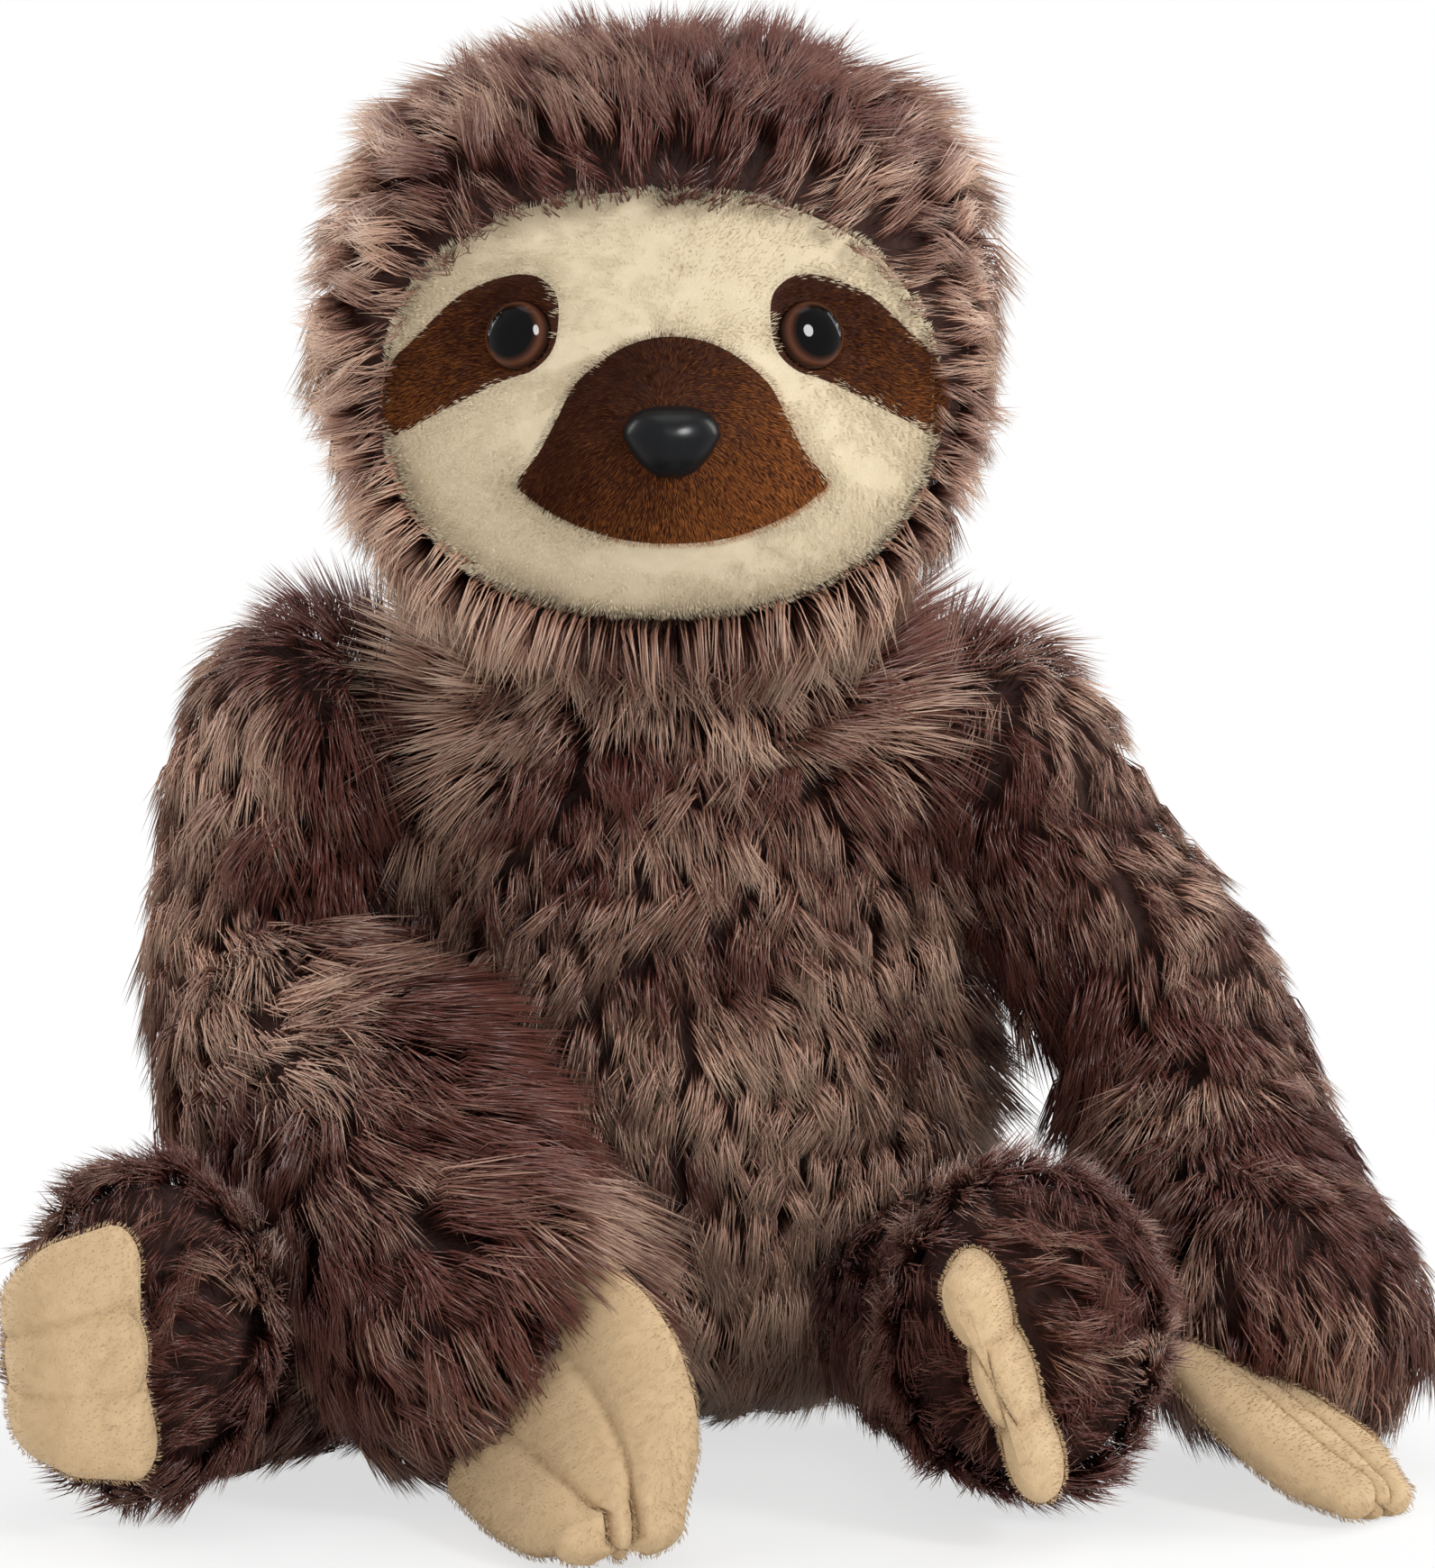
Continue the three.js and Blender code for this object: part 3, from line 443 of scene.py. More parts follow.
def vectors(tree, operation, *terms):
    """Vector maths, whose scale is the fourth input"""
    feeds = dict(enumerate(terms))
    if operation == "SCALE":
        feeds = {0: terms[0], 3: terms[1]}
    made = node(tree, "ShaderNodeVectorMath", feeds, operation=operation)
    return made.outputs["Value" if operation in ("DOT_PRODUCT", "LENGTH") else "Vector"]


def random_number(tree, between, seed, owner=None):
    """A number for each owner, or for each point where none is given"""
    feeds = {2: between[0], 3: between[1], 8: seed}
    if owner is not None:
        feeds[7] = owner
    return node(tree, "FunctionNodeRandomValue", feeds, data_type="FLOAT").outputs[1]


def named(tree, name, kind="FLOAT"):
    made = node(tree, "GeometryNodeInputNamedAttribute", {"Name": name}, data_type=kind)
    return made.outputs["Attribute"]


def stored(tree, geometry, name, value, kind="FLOAT", domain="POINT"):
    feeds = {"Geometry": geometry, "Name": name, "Value": value}
    made = node(tree, "GeometryNodeStoreNamedAttribute", feeds, data_type=kind, domain=domain)
    return made.outputs[0]


def scattered(tree, skin, density, seed):
    feeds = {"Mesh": skin, "Density": density, "Seed": seed}
    kind = "GeometryNodeDistributePointsOnFaces"
    return node(tree, kind, feeds, distribute_method="RANDOM").outputs


PILE_SIZES = (
    "Strands per square metre",
    "Tufts per square metre",
    "Strand length",
    "Strand width",
    "Bend",
    "Tuft pull",
    "Unevenness",
    "Tone spread",
    "Tuft spread",
)

# How tufts and strands stray: their turn and lean in radians, and their length as a share
TUFT_TURN, STRAND_TURN = (-0.55, 0.55), (-0.18, 0.18)
TUFT_LEAN, STRAND_LEAN = (-0.24, 0.2), (-0.12, 0.12)
TUFT_LENGTH, STRAND_LENGTH = (0.82, 1.16), (0.78, 1.12)
EITHER_WAY = (-1.0, 1.0)
TUFT_SEED, TURN_SEED, LEAN_SEED, LENGTH_SEED, TONE_SEED = 7, 11, 13, 15, 18
# The map is read a little inside its edges, and each strand takes up some of its width
MAP_MARGIN, MAP_SPAN, MAP_WIDTH = 0.03, 0.94, 0.03
# Where the frost is stronger than full, the strands are paler at the root too: painted light on
# roots that lie in shade, chiefly in the face panel's shadow under the chin
ROOT_PAINTED_LIGHT = 0.65
# A strand is widest a little below its middle
WAIST_SINKS = -0.04
SPARE_LAYERS = "share side tone pale nap lean pile cover frost unruly".split()


def pile_tree():
    """Strands of pile on a skin that says, at each vertex, how they lie. Each is a closed spike of
    three sides. It rises and then follows the nap, leans to the middle of its tuft, and carries
    its tone to the tip."""
    tree = bpy.data.node_groups.new("pile", "GeometryNodeTree")
    sockets = [("Skin", "Geometry"), *[(name, "Float") for name in PILE_SIZES]]
    for name, kind in [*sockets, ("Seed", "Int"), ("Pile material", "Material")]:
        tree.interface.new_socket(name, in_out="INPUT", socket_type="NodeSocket" + kind)
    tree.interface.new_socket("Pile", in_out="OUTPUT", socket_type="NodeSocketGeometry")
    given = tree.nodes.new("NodeGroupInput").outputs

    density = maths(tree, "MULTIPLY", given["Strands per square metre"], named(tree, "cover"))
    roots = scattered(tree, given["Skin"], density, given["Seed"])
    tufts = given["Tufts per square metre"]
    middles = scattered(tree, given["Skin"], tufts, TUFT_SEED)["Points"]
    here = node(tree, "GeometryNodeInputPosition").outputs[0]
    feeds = {"Geometry": middles, "Sample Position": here}
    nearest = node(tree, "GeometryNodeSampleNearest", feeds, domain="POINT").outputs["Index"]
    middle = node(
        tree,
        "GeometryNodeSampleIndex",
        {"Geometry": middles, "Value": here, "Index": nearest},
        data_type="FLOAT_VECTOR",
        domain="POINT",
    ).outputs[0]
    up = roots["Normal"]

    def stray(tuft, strand, seed):
        """A number for the whole tuft and one for the strand, added up"""
        of_tuft = random_number(tree, tuft, seed, nearest)
        return maths(tree, "ADD", of_tuft, random_number(tree, strand, seed + 1))

    # The nap, level with the skin and turned a little by each tuft and each strand
    nap = named(tree, "nap", "FLOAT_VECTOR")
    off = vectors(tree, "SCALE", up, vectors(tree, "DOT_PRODUCT", nap, up))
    level = vectors(tree, "NORMALIZE", vectors(tree, "SUBTRACT", nap, off))
    uneven = maths(tree, "MULTIPLY", given["Unevenness"], named(tree, "unruly"))
    turn = maths(tree, "MULTIPLY", uneven, stray(TUFT_TURN, STRAND_TURN, TURN_SEED))
    comb = node(
        tree,
        "ShaderNodeVectorRotate",
        {"Vector": level, "Axis": up, "Angle": turn},
        rotation_type="AXIS_ANGLE",
    ).outputs[0]
    strayed = maths(tree, "MULTIPLY", uneven, stray(TUFT_LEAN, STRAND_LEAN, LEAN_SEED))
    lean = maths(tree, "ADD", named(tree, "lean"), strayed)
    rise = vectors(tree, "SCALE", up, maths(tree, "COSINE", lean))
    way = vectors(tree, "ADD", rise, vectors(tree, "SCALE", comb, maths(tree, "SINE", lean)))
    share = maths(
        tree,
        "MULTIPLY",
        random_number(tree, STRAND_LENGTH, LENGTH_SEED),
        random_number(tree, TUFT_LENGTH, LENGTH_SEED + 1, nearest),
    )
    full = maths(tree, "MULTIPLY", given["Strand length"], named(tree, "pile"))
    length = maths(tree, "MULTIPLY", full, share)
    pull = vectors(tree, "SCALE", vectors(tree, "SUBTRACT", middle, here), given["Tuft pull"])
    chord = vectors(tree, "ADD", vectors(tree, "SCALE", way, length), pull)
    tall = vectors(tree, "LENGTH", chord)

    align = "FunctionNodeAlignRotationToVector"
    aimed = node(tree, align, {"Vector": chord}, axis="Z", pivot_axis="AUTO").outputs[0]
    feeds = {"Rotation": aimed, "Vector": comb}
    laid = node(tree, align, feeds, axis="X", pivot_axis="Z").outputs[0]
    tuft_tone = random_number(tree, EITHER_WAY, TONE_SEED, nearest)
    strand_tone = random_number(tree, EITHER_WAY, TONE_SEED + 1)
    tone = maths(
        tree,
        "ADD",
        maths(tree, "MULTIPLY_ADD", given["Tuft spread"], tuft_tone, named(tree, "frost")),
        maths(tree, "MULTIPLY", given["Tone spread"], strand_tone),
        clamp=True,
    )
    toned = stored(tree, roots["Points"], "tone", tone)
    # Paler roots where the frost runs past full: painted light in the shaded depth of the pile,
    # chiefly under the face panel's rim
    beyond = maths(tree, "SUBTRACT", named(tree, "frost"), 1.0, clamp=True)
    feeds = {
        "Points": stored(tree, toned, "pale", maths(tree, "MULTIPLY", beyond, ROOT_PAINTED_LIGHT)),
        "Instance": strand(tree, given),
        "Rotation": laid,
        "Scale": node(tree, "ShaderNodeCombineXYZ", {0: tall, 1: tall, 2: tall}).outputs[0],
    }
    grown = node(tree, "GeometryNodeInstanceOnPoints", feeds).outputs[0]
    real = node(tree, "GeometryNodeRealizeInstances", {"Geometry": grown}).outputs[0]

    # Nothing grows through the surface that the toy sits on
    x, y, z = node(tree, "ShaderNodeSeparateXYZ", {0: here}).outputs
    spread = maths(tree, "MULTIPLY", named(tree, "tone"), FLOOR_GAP)
    lowest = maths(tree, "ADD", spread, FLOOR_GAP)
    kept = {0: x, 1: y, 2: maths(tree, "MAXIMUM", z, lowest)}
    feeds = {"Geometry": real, "Position": node(tree, "ShaderNodeCombineXYZ", kept).outputs[0]}
    settled = node(tree, "GeometryNodeSetPosition", feeds).outputs[0]

    # The map holds a strand's tone, and how far each place on it is from root to tip
    side = maths(tree, "MULTIPLY", named(tree, "side"), MAP_WIDTH)
    across = maths(tree, "MULTIPLY_ADD", named(tree, "tone"), MAP_SPAN, side)
    # The pale share lifts a strand's root up its colour ramp: painted light on shaded roots
    pale = named(tree, "pale")
    left = maths(tree, "SUBTRACT", 1.0, pale)
    up_ramp = maths(tree, "MULTIPLY_ADD", named(tree, "share"), left, pale)
    place = {
        0: maths(tree, "ADD", across, MAP_MARGIN),
        1: maths(tree, "MULTIPLY_ADD", up_ramp, MAP_SPAN, MAP_MARGIN),
    }
    map_place = node(tree, "ShaderNodeCombineXYZ", place).outputs[0]
    mapped = stored(tree, settled, BAKE_MAP, map_place, "FLOAT2", "CORNER")
    smooth = node(tree, "GeometryNodeSetShadeSmooth", {"Geometry": mapped}).outputs[0]
    feeds = {"Geometry": smooth, "Material": given["Pile material"]}
    dressed = node(tree, "GeometryNodeSetMaterial", feeds).outputs[0]
    node(tree, "NodeGroupOutput", {"Pile": dressed})
    return tree


def strand(tree, given):
    """One strand, a metre long: a spindle of six triangles that bows away from the nap"""
    feeds = {"Segments": 3, "Rings": 2, "Radius": 1.0}
    spindle = node(tree, "GeometryNodeMeshUVSphere", feeds).outputs["Mesh"]
    here = node(tree, "GeometryNodeInputPosition").outputs[0]
    x, y, z = node(tree, "ShaderNodeSeparateXYZ", {0: here}).outputs
    share = maths(tree, "MULTIPLY_ADD", z, 0.5, 0.5)
    noted = stored(tree, stored(tree, spindle, "share", share), "side", x)
    slim = maths(tree, "DIVIDE", given["Strand width"], given["Strand length"])
    waist = maths(tree, "SUBTRACT", 1.0, maths(tree, "MULTIPLY", z, z))
    bowed = maths(tree, "MULTIPLY", maths(tree, "MULTIPLY", waist, given["Bend"]), -1.0)
    bent = {
        0: maths(tree, "MULTIPLY_ADD", x, slim, bowed),
        1: maths(tree, "MULTIPLY", y, slim),
        2: maths(tree, "MULTIPLY_ADD", waist, WAIST_SINKS, share),
    }
    feeds = {"Geometry": noted, "Position": node(tree, "ShaderNodeCombineXYZ", bent).outputs[0]}
    return node(tree, "GeometryNodeSetPosition", feeds).outputs[0]


PILE_TREE = pile_tree()


def clear_layers(mesh):
    """Takes off a mesh what only told the pile how to grow"""
    for layer in SPARE_LAYERS:
        if layer in mesh.attributes:
            mesh.attributes.remove(mesh.attributes[layer])


def grow_pile(name, skin, material, **sizes):
    """The pile on a skin as a plain mesh of its own"""
    grower = link(name + "_grower", skin.data.copy())
    modifier = grower.modifiers.new("pile", "NODES")
    modifier.node_group = PILE_TREE
    sizes = {"pile_material": material, **sizes}
    for item in PILE_TREE.interface.items_tree:
        key = item.name.lower().replace(" ", "_")
        if item.in_out == "INPUT" and key in sizes:
            modifier[item.identifier] = sizes[key]
    mesh = evaluated_mesh(grower)
    bpy.data.objects.remove(grower)
    clear_layers(mesh)
    mesh.name = name
    return link(name, mesh)


# Materials

# Cloth: its nap is drawn out downwards and much finer than its mottle
CLOTH_ROUGHNESS, CLOTH_GLOSS, SHEEN_ROUGHNESS = 0.9, 0.1, 0.5
NAP_SCALE, NAP_DRAWN, NAP_DEPTH = 3600.0, (1.0, 1.0, 0.35), 0.0003
MOTTLE_SHARE, NAP_SHARE = 0.55, 0.45
# Moulded parts: a faint grain, and how much darker the colour gets in it
GRAIN_SCALE, GRAIN_BUMP, GRAIN_DEPTH, GRAIN_SHADE = 900.0, 0.12, 0.0002, 0.85
# Where a noise turns from its dark colour to its light one
DARK_UP_TO, LIGHT_FROM = 0.35, 0.65


def principled(name, roughness, gloss):
    """A new material, with its tree and its shader"""
    material = bpy.data.materials.new(name)
    material.use_nodes = True
    shader = material.node_tree.nodes["Principled BSDF"]
    shader.inputs["Roughness"].default_value = roughness
    shader.inputs["Specular IOR Level"].default_value = gloss
    return material, material.node_tree, shader


def ramp(tree, driver, stops):
    made = node(tree, "ShaderNodeValToRGB", {0: driver})
    elements = made.color_ramp.elements
    while len(elements) < len(stops):
        elements.new(0.5)
    for element, (place, colour) in zip(elements, stops):
        element.position = place
        element.color = (*colour, 1)
    return made.outputs[0]


def add_relief(tree, shader, height, strength, depth):
    feeds = {"Strength": strength, "Distance": depth, "Height": height}
    tree.links.new(node(tree, "ShaderNodeBump", feeds).outputs[0], shader.inputs["Normal"])


def plush(name, tones, roughness, gloss):
    """Pile whose colour runs from root to tip, and from its dark tone to its frosted one"""
    material, tree, shader = principled(name, roughness, gloss)
    place = node(tree, "ShaderNodeUVMap", uv_map=BAKE_MAP).outputs[0]
    tone, share = node(tree, "ShaderNodeSeparateXYZ", {0: place}).outputs[:2]
    dark, frosted = (ramp(tree, share, stops) for stops in tones)
    feeds = {"Factor": tone, 6: dark, 7: frosted}
    mixed = node(tree, "ShaderNodeMix", feeds, data_type="RGBA", blend_type="MIX").outputs[2]
    tree.links.new(mixed, shader.inputs["Base Color"])
    return material


def cloth(name, dark, light, scale, bump, sheen):
    """Short plush or backing cloth on Object coordinates: mottled, with a fine nap downwards"""
    material, tree, shader = principled(name, CLOTH_ROUGHNESS, CLOTH_GLOSS)
    place = node(tree, "ShaderNodeTexCoord").outputs["Object"]
    feeds = {"Vector": place, "Scale": scale, "Detail": 4.0, "Roughness": 0.55}
    mottle = node(tree, "ShaderNodeTexNoise", feeds).outputs[0]
    drawn = vectors(tree, "MULTIPLY", place, NAP_DRAWN)
    feeds = {"Vector": drawn, "Scale": NAP_SCALE, "Detail": 3.0, "Roughness": 0.6}
    nap = node(tree, "ShaderNodeTexNoise", feeds).outputs[0]
    fine = maths(tree, "MULTIPLY", nap, NAP_SHARE)
    tone = maths(tree, "MULTIPLY_ADD", mottle, MOTTLE_SHARE, fine)
    colour = ramp(tree, tone, [(DARK_UP_TO, dark), (LIGHT_FROM, light)])
    tree.links.new(colour, shader.inputs["Base Color"])
    add_relief(tree, shader, nap, bump, NAP_DEPTH)
    shader.inputs["Sheen Weight"].default_value = sheen
    shader.inputs["Sheen Roughness"].default_value = SHEEN_ROUGHNESS
    return material


def moulded(name, colour, roughness, gloss):
    material, tree, shader = principled(name, roughness, gloss)
    place = node(tree, "ShaderNodeTexCoord").outputs["Object"]
    feeds = {"Vector": place, "Scale": GRAIN_SCALE, "Detail": 2.0}
    grain = node(tree, "ShaderNodeTexNoise", feeds).outputs[0]
    deep = [c * GRAIN_SHADE for c in colour]
    shaded = ramp(tree, grain, [(DARK_UP_TO, deep), (LIGHT_FROM, colour)])
    tree.links.new(shaded, shader.inputs["Base Color"])
    add_relief(tree, shader, grain, GRAIN_BUMP, GRAIN_DEPTH)
    return material


FUR_DARK = [
    (0.0, (0.028, 0.008, 0.0056)),
    (0.35, (0.066, 0.0178, 0.0128)),
    (0.75, (0.134, 0.0375, 0.0275)),
    (1.0, (0.205, 0.073, 0.054)),
]
FUR_FROSTED = [
    (0.0, (0.03, 0.01, 0.0075)),
    (0.28, (0.125, 0.044, 0.031)),
    (0.5, (0.44, 0.238, 0.166)),
    (1.0, (0.95, 0.71, 0.53)),
]
CREAM_TONES = [
    [(0.0, (0.62, 0.5, 0.325)), (1.0, (0.72, 0.6, 0.41))],
    [(0.0, (0.8, 0.69, 0.49)), (1.0, (0.96, 0.86, 0.66))],
]
SADDLE_TONES = [
    [(0.0, (0.018, 0.0035, 0.0018)), (1.0, (0.034, 0.0075, 0.0038))],
    [(0.0, (0.25, 0.072, 0.018)), (1.0, (0.58, 0.205, 0.052))],
]
TAN_TONES = [
    [(0.0, (0.5, 0.355, 0.205)), (1.0, (0.56, 0.405, 0.24))],
    [(0.0, (0.62, 0.455, 0.275)), (1.0, (0.75, 0.57, 0.36))],
]

fur = plush("long fur", (FUR_DARK, FUR_FROSTED), roughness=0.36, gloss=0.2)
cream_pile = plush("cream plush", CREAM_TONES, roughness=0.85, gloss=0.1)
saddle_pile = plush("saddle brown plush", SADDLE_TONES, roughness=0.75, gloss=0.02)
tan_pile = plush("tan plush", TAN_TONES, roughness=0.8, gloss=0.12)
# Of each cloth: its dark and light colours, the scale of its mottle, its bump and its sheen
fur_backing = cloth("fur backing", (0.03, 0.012, 0.009), (0.06, 0.026, 0.02), 700, 0.3, 0.0)
cream_cloth = cloth("cream cloth", (0.67, 0.56, 0.38), (0.77, 0.65, 0.46), 220, 0.45, 0.1)
saddle_cloth = cloth("saddle brown cloth", (0.03, 0.008, 0.004), (0.07, 0.02, 0.008), 400, 0.3, 0.0)
tan_cloth = cloth("tan cloth", (0.52, 0.37, 0.21), (0.63, 0.455, 0.27), 260, 0.4, 0.08)
nose_plastic = moulded("charcoal nose", (0.008, 0.0085, 0.0095), roughness=0.3, gloss=0.1)
washer_nylon = moulded("white nylon", (0.66, 0.66, 0.62), roughness=0.5, gloss=0.5)

# How the pile lies

# Heights in millimetres from which and up to which the fur changes
HEIGHTS = {
    "fringe stops hanging": (172, 198),
    "head turns unruly": (178, 214),
    "chin loses its frost": (166, 200),
    "chin stops being long": (172, 200),
    "crown grows longer": (228, 262),
    "crown stands up": (236, 264),
    "left cheek stops being trimmed": (236, 250),
    "left of the crown grows longer": (244, 256),
    "body loses its frost": (70, 120),
    "flank ends": (112, 130),
    "body stands up": (126, 140),
    "body grows longer": (126, 142),
    "shoulders roll outwards": (138, 148),
    "arm stops being swept": (84, 106),
    "arm stops filling the gap": (84, 104),
    "arm starts filling the gap": (40, 56),
    "upper arm is frosted": (66, 96),
    "elbow stops hanging": (70, 82),
    "cuff ends": (22, 46),
}
# The seeds and the reach of the noise that swirls the nap, and how strongly it does so
SWIRL_SEEDS, SWIRL_REACH, SWIRL = (3, 31, 67), 26, 0.3
# How far the pile of a forearm is swept sideways
FOREARM_SWEEP = {"right": 0.55, "left": 0.0}
# How far from a limb's end its pile spreads, in millimetres
SPREAD_REACH = 34
# How far behind the panel's edge the pelt is sewn, and over what width it comes forward to it
RIM_SEAM, RIM_REACH = 1.7, 20


def over(points, change):
    """0 below the heights of a change, 1 above them"""
    return rise_over(points, *HEIGHTS[change])


def field_noise(points, across, up, seed):
    """A smooth random field in -1..1 over places in metres, with its own reach across and up"""
    scale = np.array([1 / across, 1 / across, 1 / up]) / MM
    shift = Vector((seed, 0, 0))
    return np.array([noise.noise(Vector(p) + shift) for p in points * scale]) * 1.6


def limb_way(line, points):
    """For each place, the way that the nearest stretch of a limb's line runs"""
    line = np.array(line, float) * MM
    starts, ways = line[:-1], np.diff(line, axis=0)
    along = ((points[:, None] - starts) * ways).sum(-1) / (ways**2).sum(-1)
    along = np.clip(along, 0, 1)
    near = starts + along[..., None] * ways
    gap = np.linalg.norm(points[:, None] - near, axis=-1)
    weight = 1 / (gap**4 + 1e-12)
    return unit((weight[..., None] * unit(ways)).sum(1))


def limb_nap(line, droop, outward, forward):
    """Along the limb, hanging, and spreading from its line at the end"""

    def nap(points, ways):
        end = np.array(line[-1], float) * MM
        run = limb_way(line, points) * np.array([1, forward, 1])
        near_end = np.clip(1 - np.linalg.norm(points - end, axis=1) / (SPREAD_REACH * MM), 0, 1)
        return run + np.array([0, 0, -droop]) + near_end[:, None] * outward * ways

    return nap


def head_nap(points, ways):
    """Away from the face all round, and down the sides and the back"""
    middle = np.array([FACE_ASIDE, 0, FACE_HEIGHT]) * MM
    out = points - middle
    out[:, 1] = 0
    out = unit(out)
    back = np.clip(points[:, 1] / (45 * MM) + 0.4, 0, 1)[:, None]
    in_front = np.where(points[:, 1] < 0, 1, 0)
    fringe = ((1 - over(points, "fringe stops hanging")) * in_front)[:, None]
    hanging = (
        np.array([0, 0.25, -0.35])
        + back * np.array([0, 0.1, -0.9])
        + fringe * np.array([0, -0.2, -1.0])
    )
    return out * (1 - 0.7 * back) + hanging


def body_nap(points, ways):
    """Down the body, and up and outwards over its shoulders"""
    out = unit(points * np.array([1, 1, 0]))
    aside = climb(from_middle(points), 24, 16)
    shoulder = (aside * over(points, "shoulders roll outwards"))[:, None]
    down = np.array([0, 0, -1.0]) + 0.2 * out
    return (1 - shoulder) * down + shoulder * (np.array([0, 0, 0.6]) + 0.8 * out)


def arm_nap(side):
    """Down the arm, but at the shoulder it rolls over from the neck outwards"""
    along = limb_nap(ARM_LINES[side], droop=0.6, outward=0.3, forward=0.2)
    across = np.array([FOREARM_SWEEP[side], 0, 0])
    shoulder = ARM_LINES[side][0]
    beside = math.copysign(1, shoulder[0])

    def nap(points, ways):
        top = rise_over(points, shoulder[2] - 4, shoulder[2] + 12)[:, None]
        roll = np.stack([beside * ways[:, 2], 0 * ways[:, 1], -beside * ways[:, 0]], axis=1)
        forearm = (1 - over(points, "arm stops being swept"))[:, None]
        swept = along(points, ways) + forearm * across
        return swept * (1 - top) + (roll + np.array([0, 0, -0.35])) * top

    return nap


def face_rim_share(points):
    """How far from the face's middle a place is, where the rim is at 1"""
    x = np.abs(points[:, 0] / MM - FACE_ASIDE) / FACE_HALF_WIDTH
    z = np.abs(points[:, 2] / MM - FACE_HEIGHT) / FACE_HALF_HEIGHT
    return (x**FACE_ROUNDNESS + z**FACE_ROUNDNESS) ** (1 / FACE_ROUNDNESS)


def gap_to(mesh, points):
    """How far each place is from a closed mesh, below 0 inside it"""
    tree = BVHTree.FromPolygons([v.co for v in mesh.vertices], [p.vertices for p in mesh.polygons])
    gaps = np.empty(len(points))
    for i, point in enumerate(points):
        near, way, _, gap = tree.find_nearest(Vector(point))
        gaps[i] = -gap if (Vector(point) - near).dot(way) < 0 else gap
    return gaps


def outside_of(mesh, points, margin):
    """1 where a place is clear of a closed mesh by the margin, 0 where it isn't"""
    gaps = gap_to(mesh, points)
    return np.where((gaps < 0) | (gaps < margin), 0.0, 1.0)


def draw_to_rim(skin):
    """The pelt round the face is sewn to the panel's edge, so the skin comes forward to meet it"""
    points = points_of(skin.data)
    share = face_rim_share(points)
    places = np.stack([points[:, 0], points[:, 2]], axis=1) / MM
    middle = np.array([FACE_ASIDE, FACE_HEIGHT])
    rim = middle + (places - middle) / np.maximum(share, 0.01)[:, None]
    beyond = np.linalg.norm(places - rim, axis=1) * np.where(share > 1, 1, 0)
    level = (face_front(rim[:, 0], rim[:, 1]) + RIM_SEAM) * MM
    near = np.clip(1 - beyond / RIM_REACH, 0, 1) ** 2 * np.where(points[:, 1] < -4 * MM, 1, 0)
    short = np.minimum(level - points[:, 1], 0)
    points[:, 1] += short * near
    move_points(skin.data, points)


def dress(skin, nap, lean, frost, pile, cover, unruly=1.0):
    """Stores on a skin how its pile lies, how long, dense, frosted and unruly it is. Under the chin
    and low on the body the frost also holds painted light.
    """
    mesh = skin.data
    points, ways = points_of(mesh), normals_of(mesh)
    swirl = [field_noise(points, SWIRL_REACH, SWIRL_REACH, seed) for seed in SWIRL_SEEDS]
    put(mesh, "nap", unit(nap(points, ways)) + SWIRL * np.stack(swirl, axis=1))
    given = {"lean": lean, "frost": frost, "pile": pile, "cover": cover, "unruly": unruly}
    for name, value in given.items():
        if callable(value):
            value = value(points, ways)
        put(mesh, name, np.broadcast_to(value, len(points)))


# Face


def face_front(x, z):
    """How far forward the face stands at a place, as a Y in millimetres"""
    across = (x - FACE_ASIDE) / FACE_HALF_WIDTH
    up = (z - FACE_HEIGHT) / FACE_HALF_HEIGHT
    inside = np.maximum(0, 1 - across**2 - up**2)
    rim = RIM_AT_SIDES + (RIM_AT_ENDS - RIM_AT_SIDES) * np.minimum(1, up**2)
    bump = ((x - MUZZLE_ASIDE) / MUZZLE_ACROSS) ** 2 + ((z - MUZZLE_ROW) / MUZZLE_UP) ** 2
    return -(rim + FACE_DOME * inside + MUZZLE_RISE * np.exp(-bump))


def face_way(x, z):
    step = FACE_HALF_WIDTH / 50
    slope_x = (face_front(x + step, z) - face_front(x - step, z)) / (2 * step)
    slope_z = (face_front(x, z + step) - face_front(x, z - step)) / (2 * step)
    return unit(np.array([slope_x, -1, slope_z], float))


def on_face(x, z, proud=0.0):
    return np.stack([x, face_front(x, z) - proud, z], axis=-1) * MM


def rim_point(angle, share):
    """A place on the panel's outline, drawn in to a share of it"""

    def bent(value):
        return np.sign(value) * np.abs(value) ** (2 / FACE_ROUNDNESS)

    x = FACE_ASIDE + FACE_HALF_WIDTH * share * bent(np.cos(angle))
    z = FACE_HEIGHT + FACE_HALF_HEIGHT * share * bent(np.sin(angle))
    return x, z


# The panel's mesh: its sides and rings, how far its rim rolls back in millimetres, and the rings
# that close it behind, as shares of its outline and millimetres back
PANEL_SIDES, PANEL_RINGS, PANEL_ROLL = 144, 34, 0.9
PANEL_BACK = ((1.006, 5), (0.99, 9), (0.95, 12), (0.6, 12))
PANEL_DEPTH = 14


def face_panel_mesh():
    """The panel rolls back at its rim and is closed behind"""
    angles = np.linspace(0, 2 * math.pi, PANEL_SIDES, endpoint=False)
    rings = []
    for share in np.linspace(0.04, 1, PANEL_RINGS):
        x, z = rim_point(angles, share)
        sunk = PANEL_ROLL * climb(share, 0.95, 0.05) ** 2
        rings.append(on_face(x, z, -sunk))
    for share, back in PANEL_BACK:
        x, z = rim_point(angles, share)
        rings.append(on_face(x, z, -back))
    middle = np.float64(FACE_ASIDE), np.float64(FACE_HEIGHT)
    return ringed("face_cloth", on_face(*middle), rings, on_face(*middle, -PANEL_DEPTH))


def curve_through(a, b, c, d, t):
    """A smooth curve at t, from b at 0 to c at 1, where a comes before them and d after"""
    return 0.5 * (
        2 * b
        + (c - a) * t
        + (2 * a - 5 * b + 4 * c - d) * t**2
        + (3 * b - a - 3 * c + d) * t**3
    )


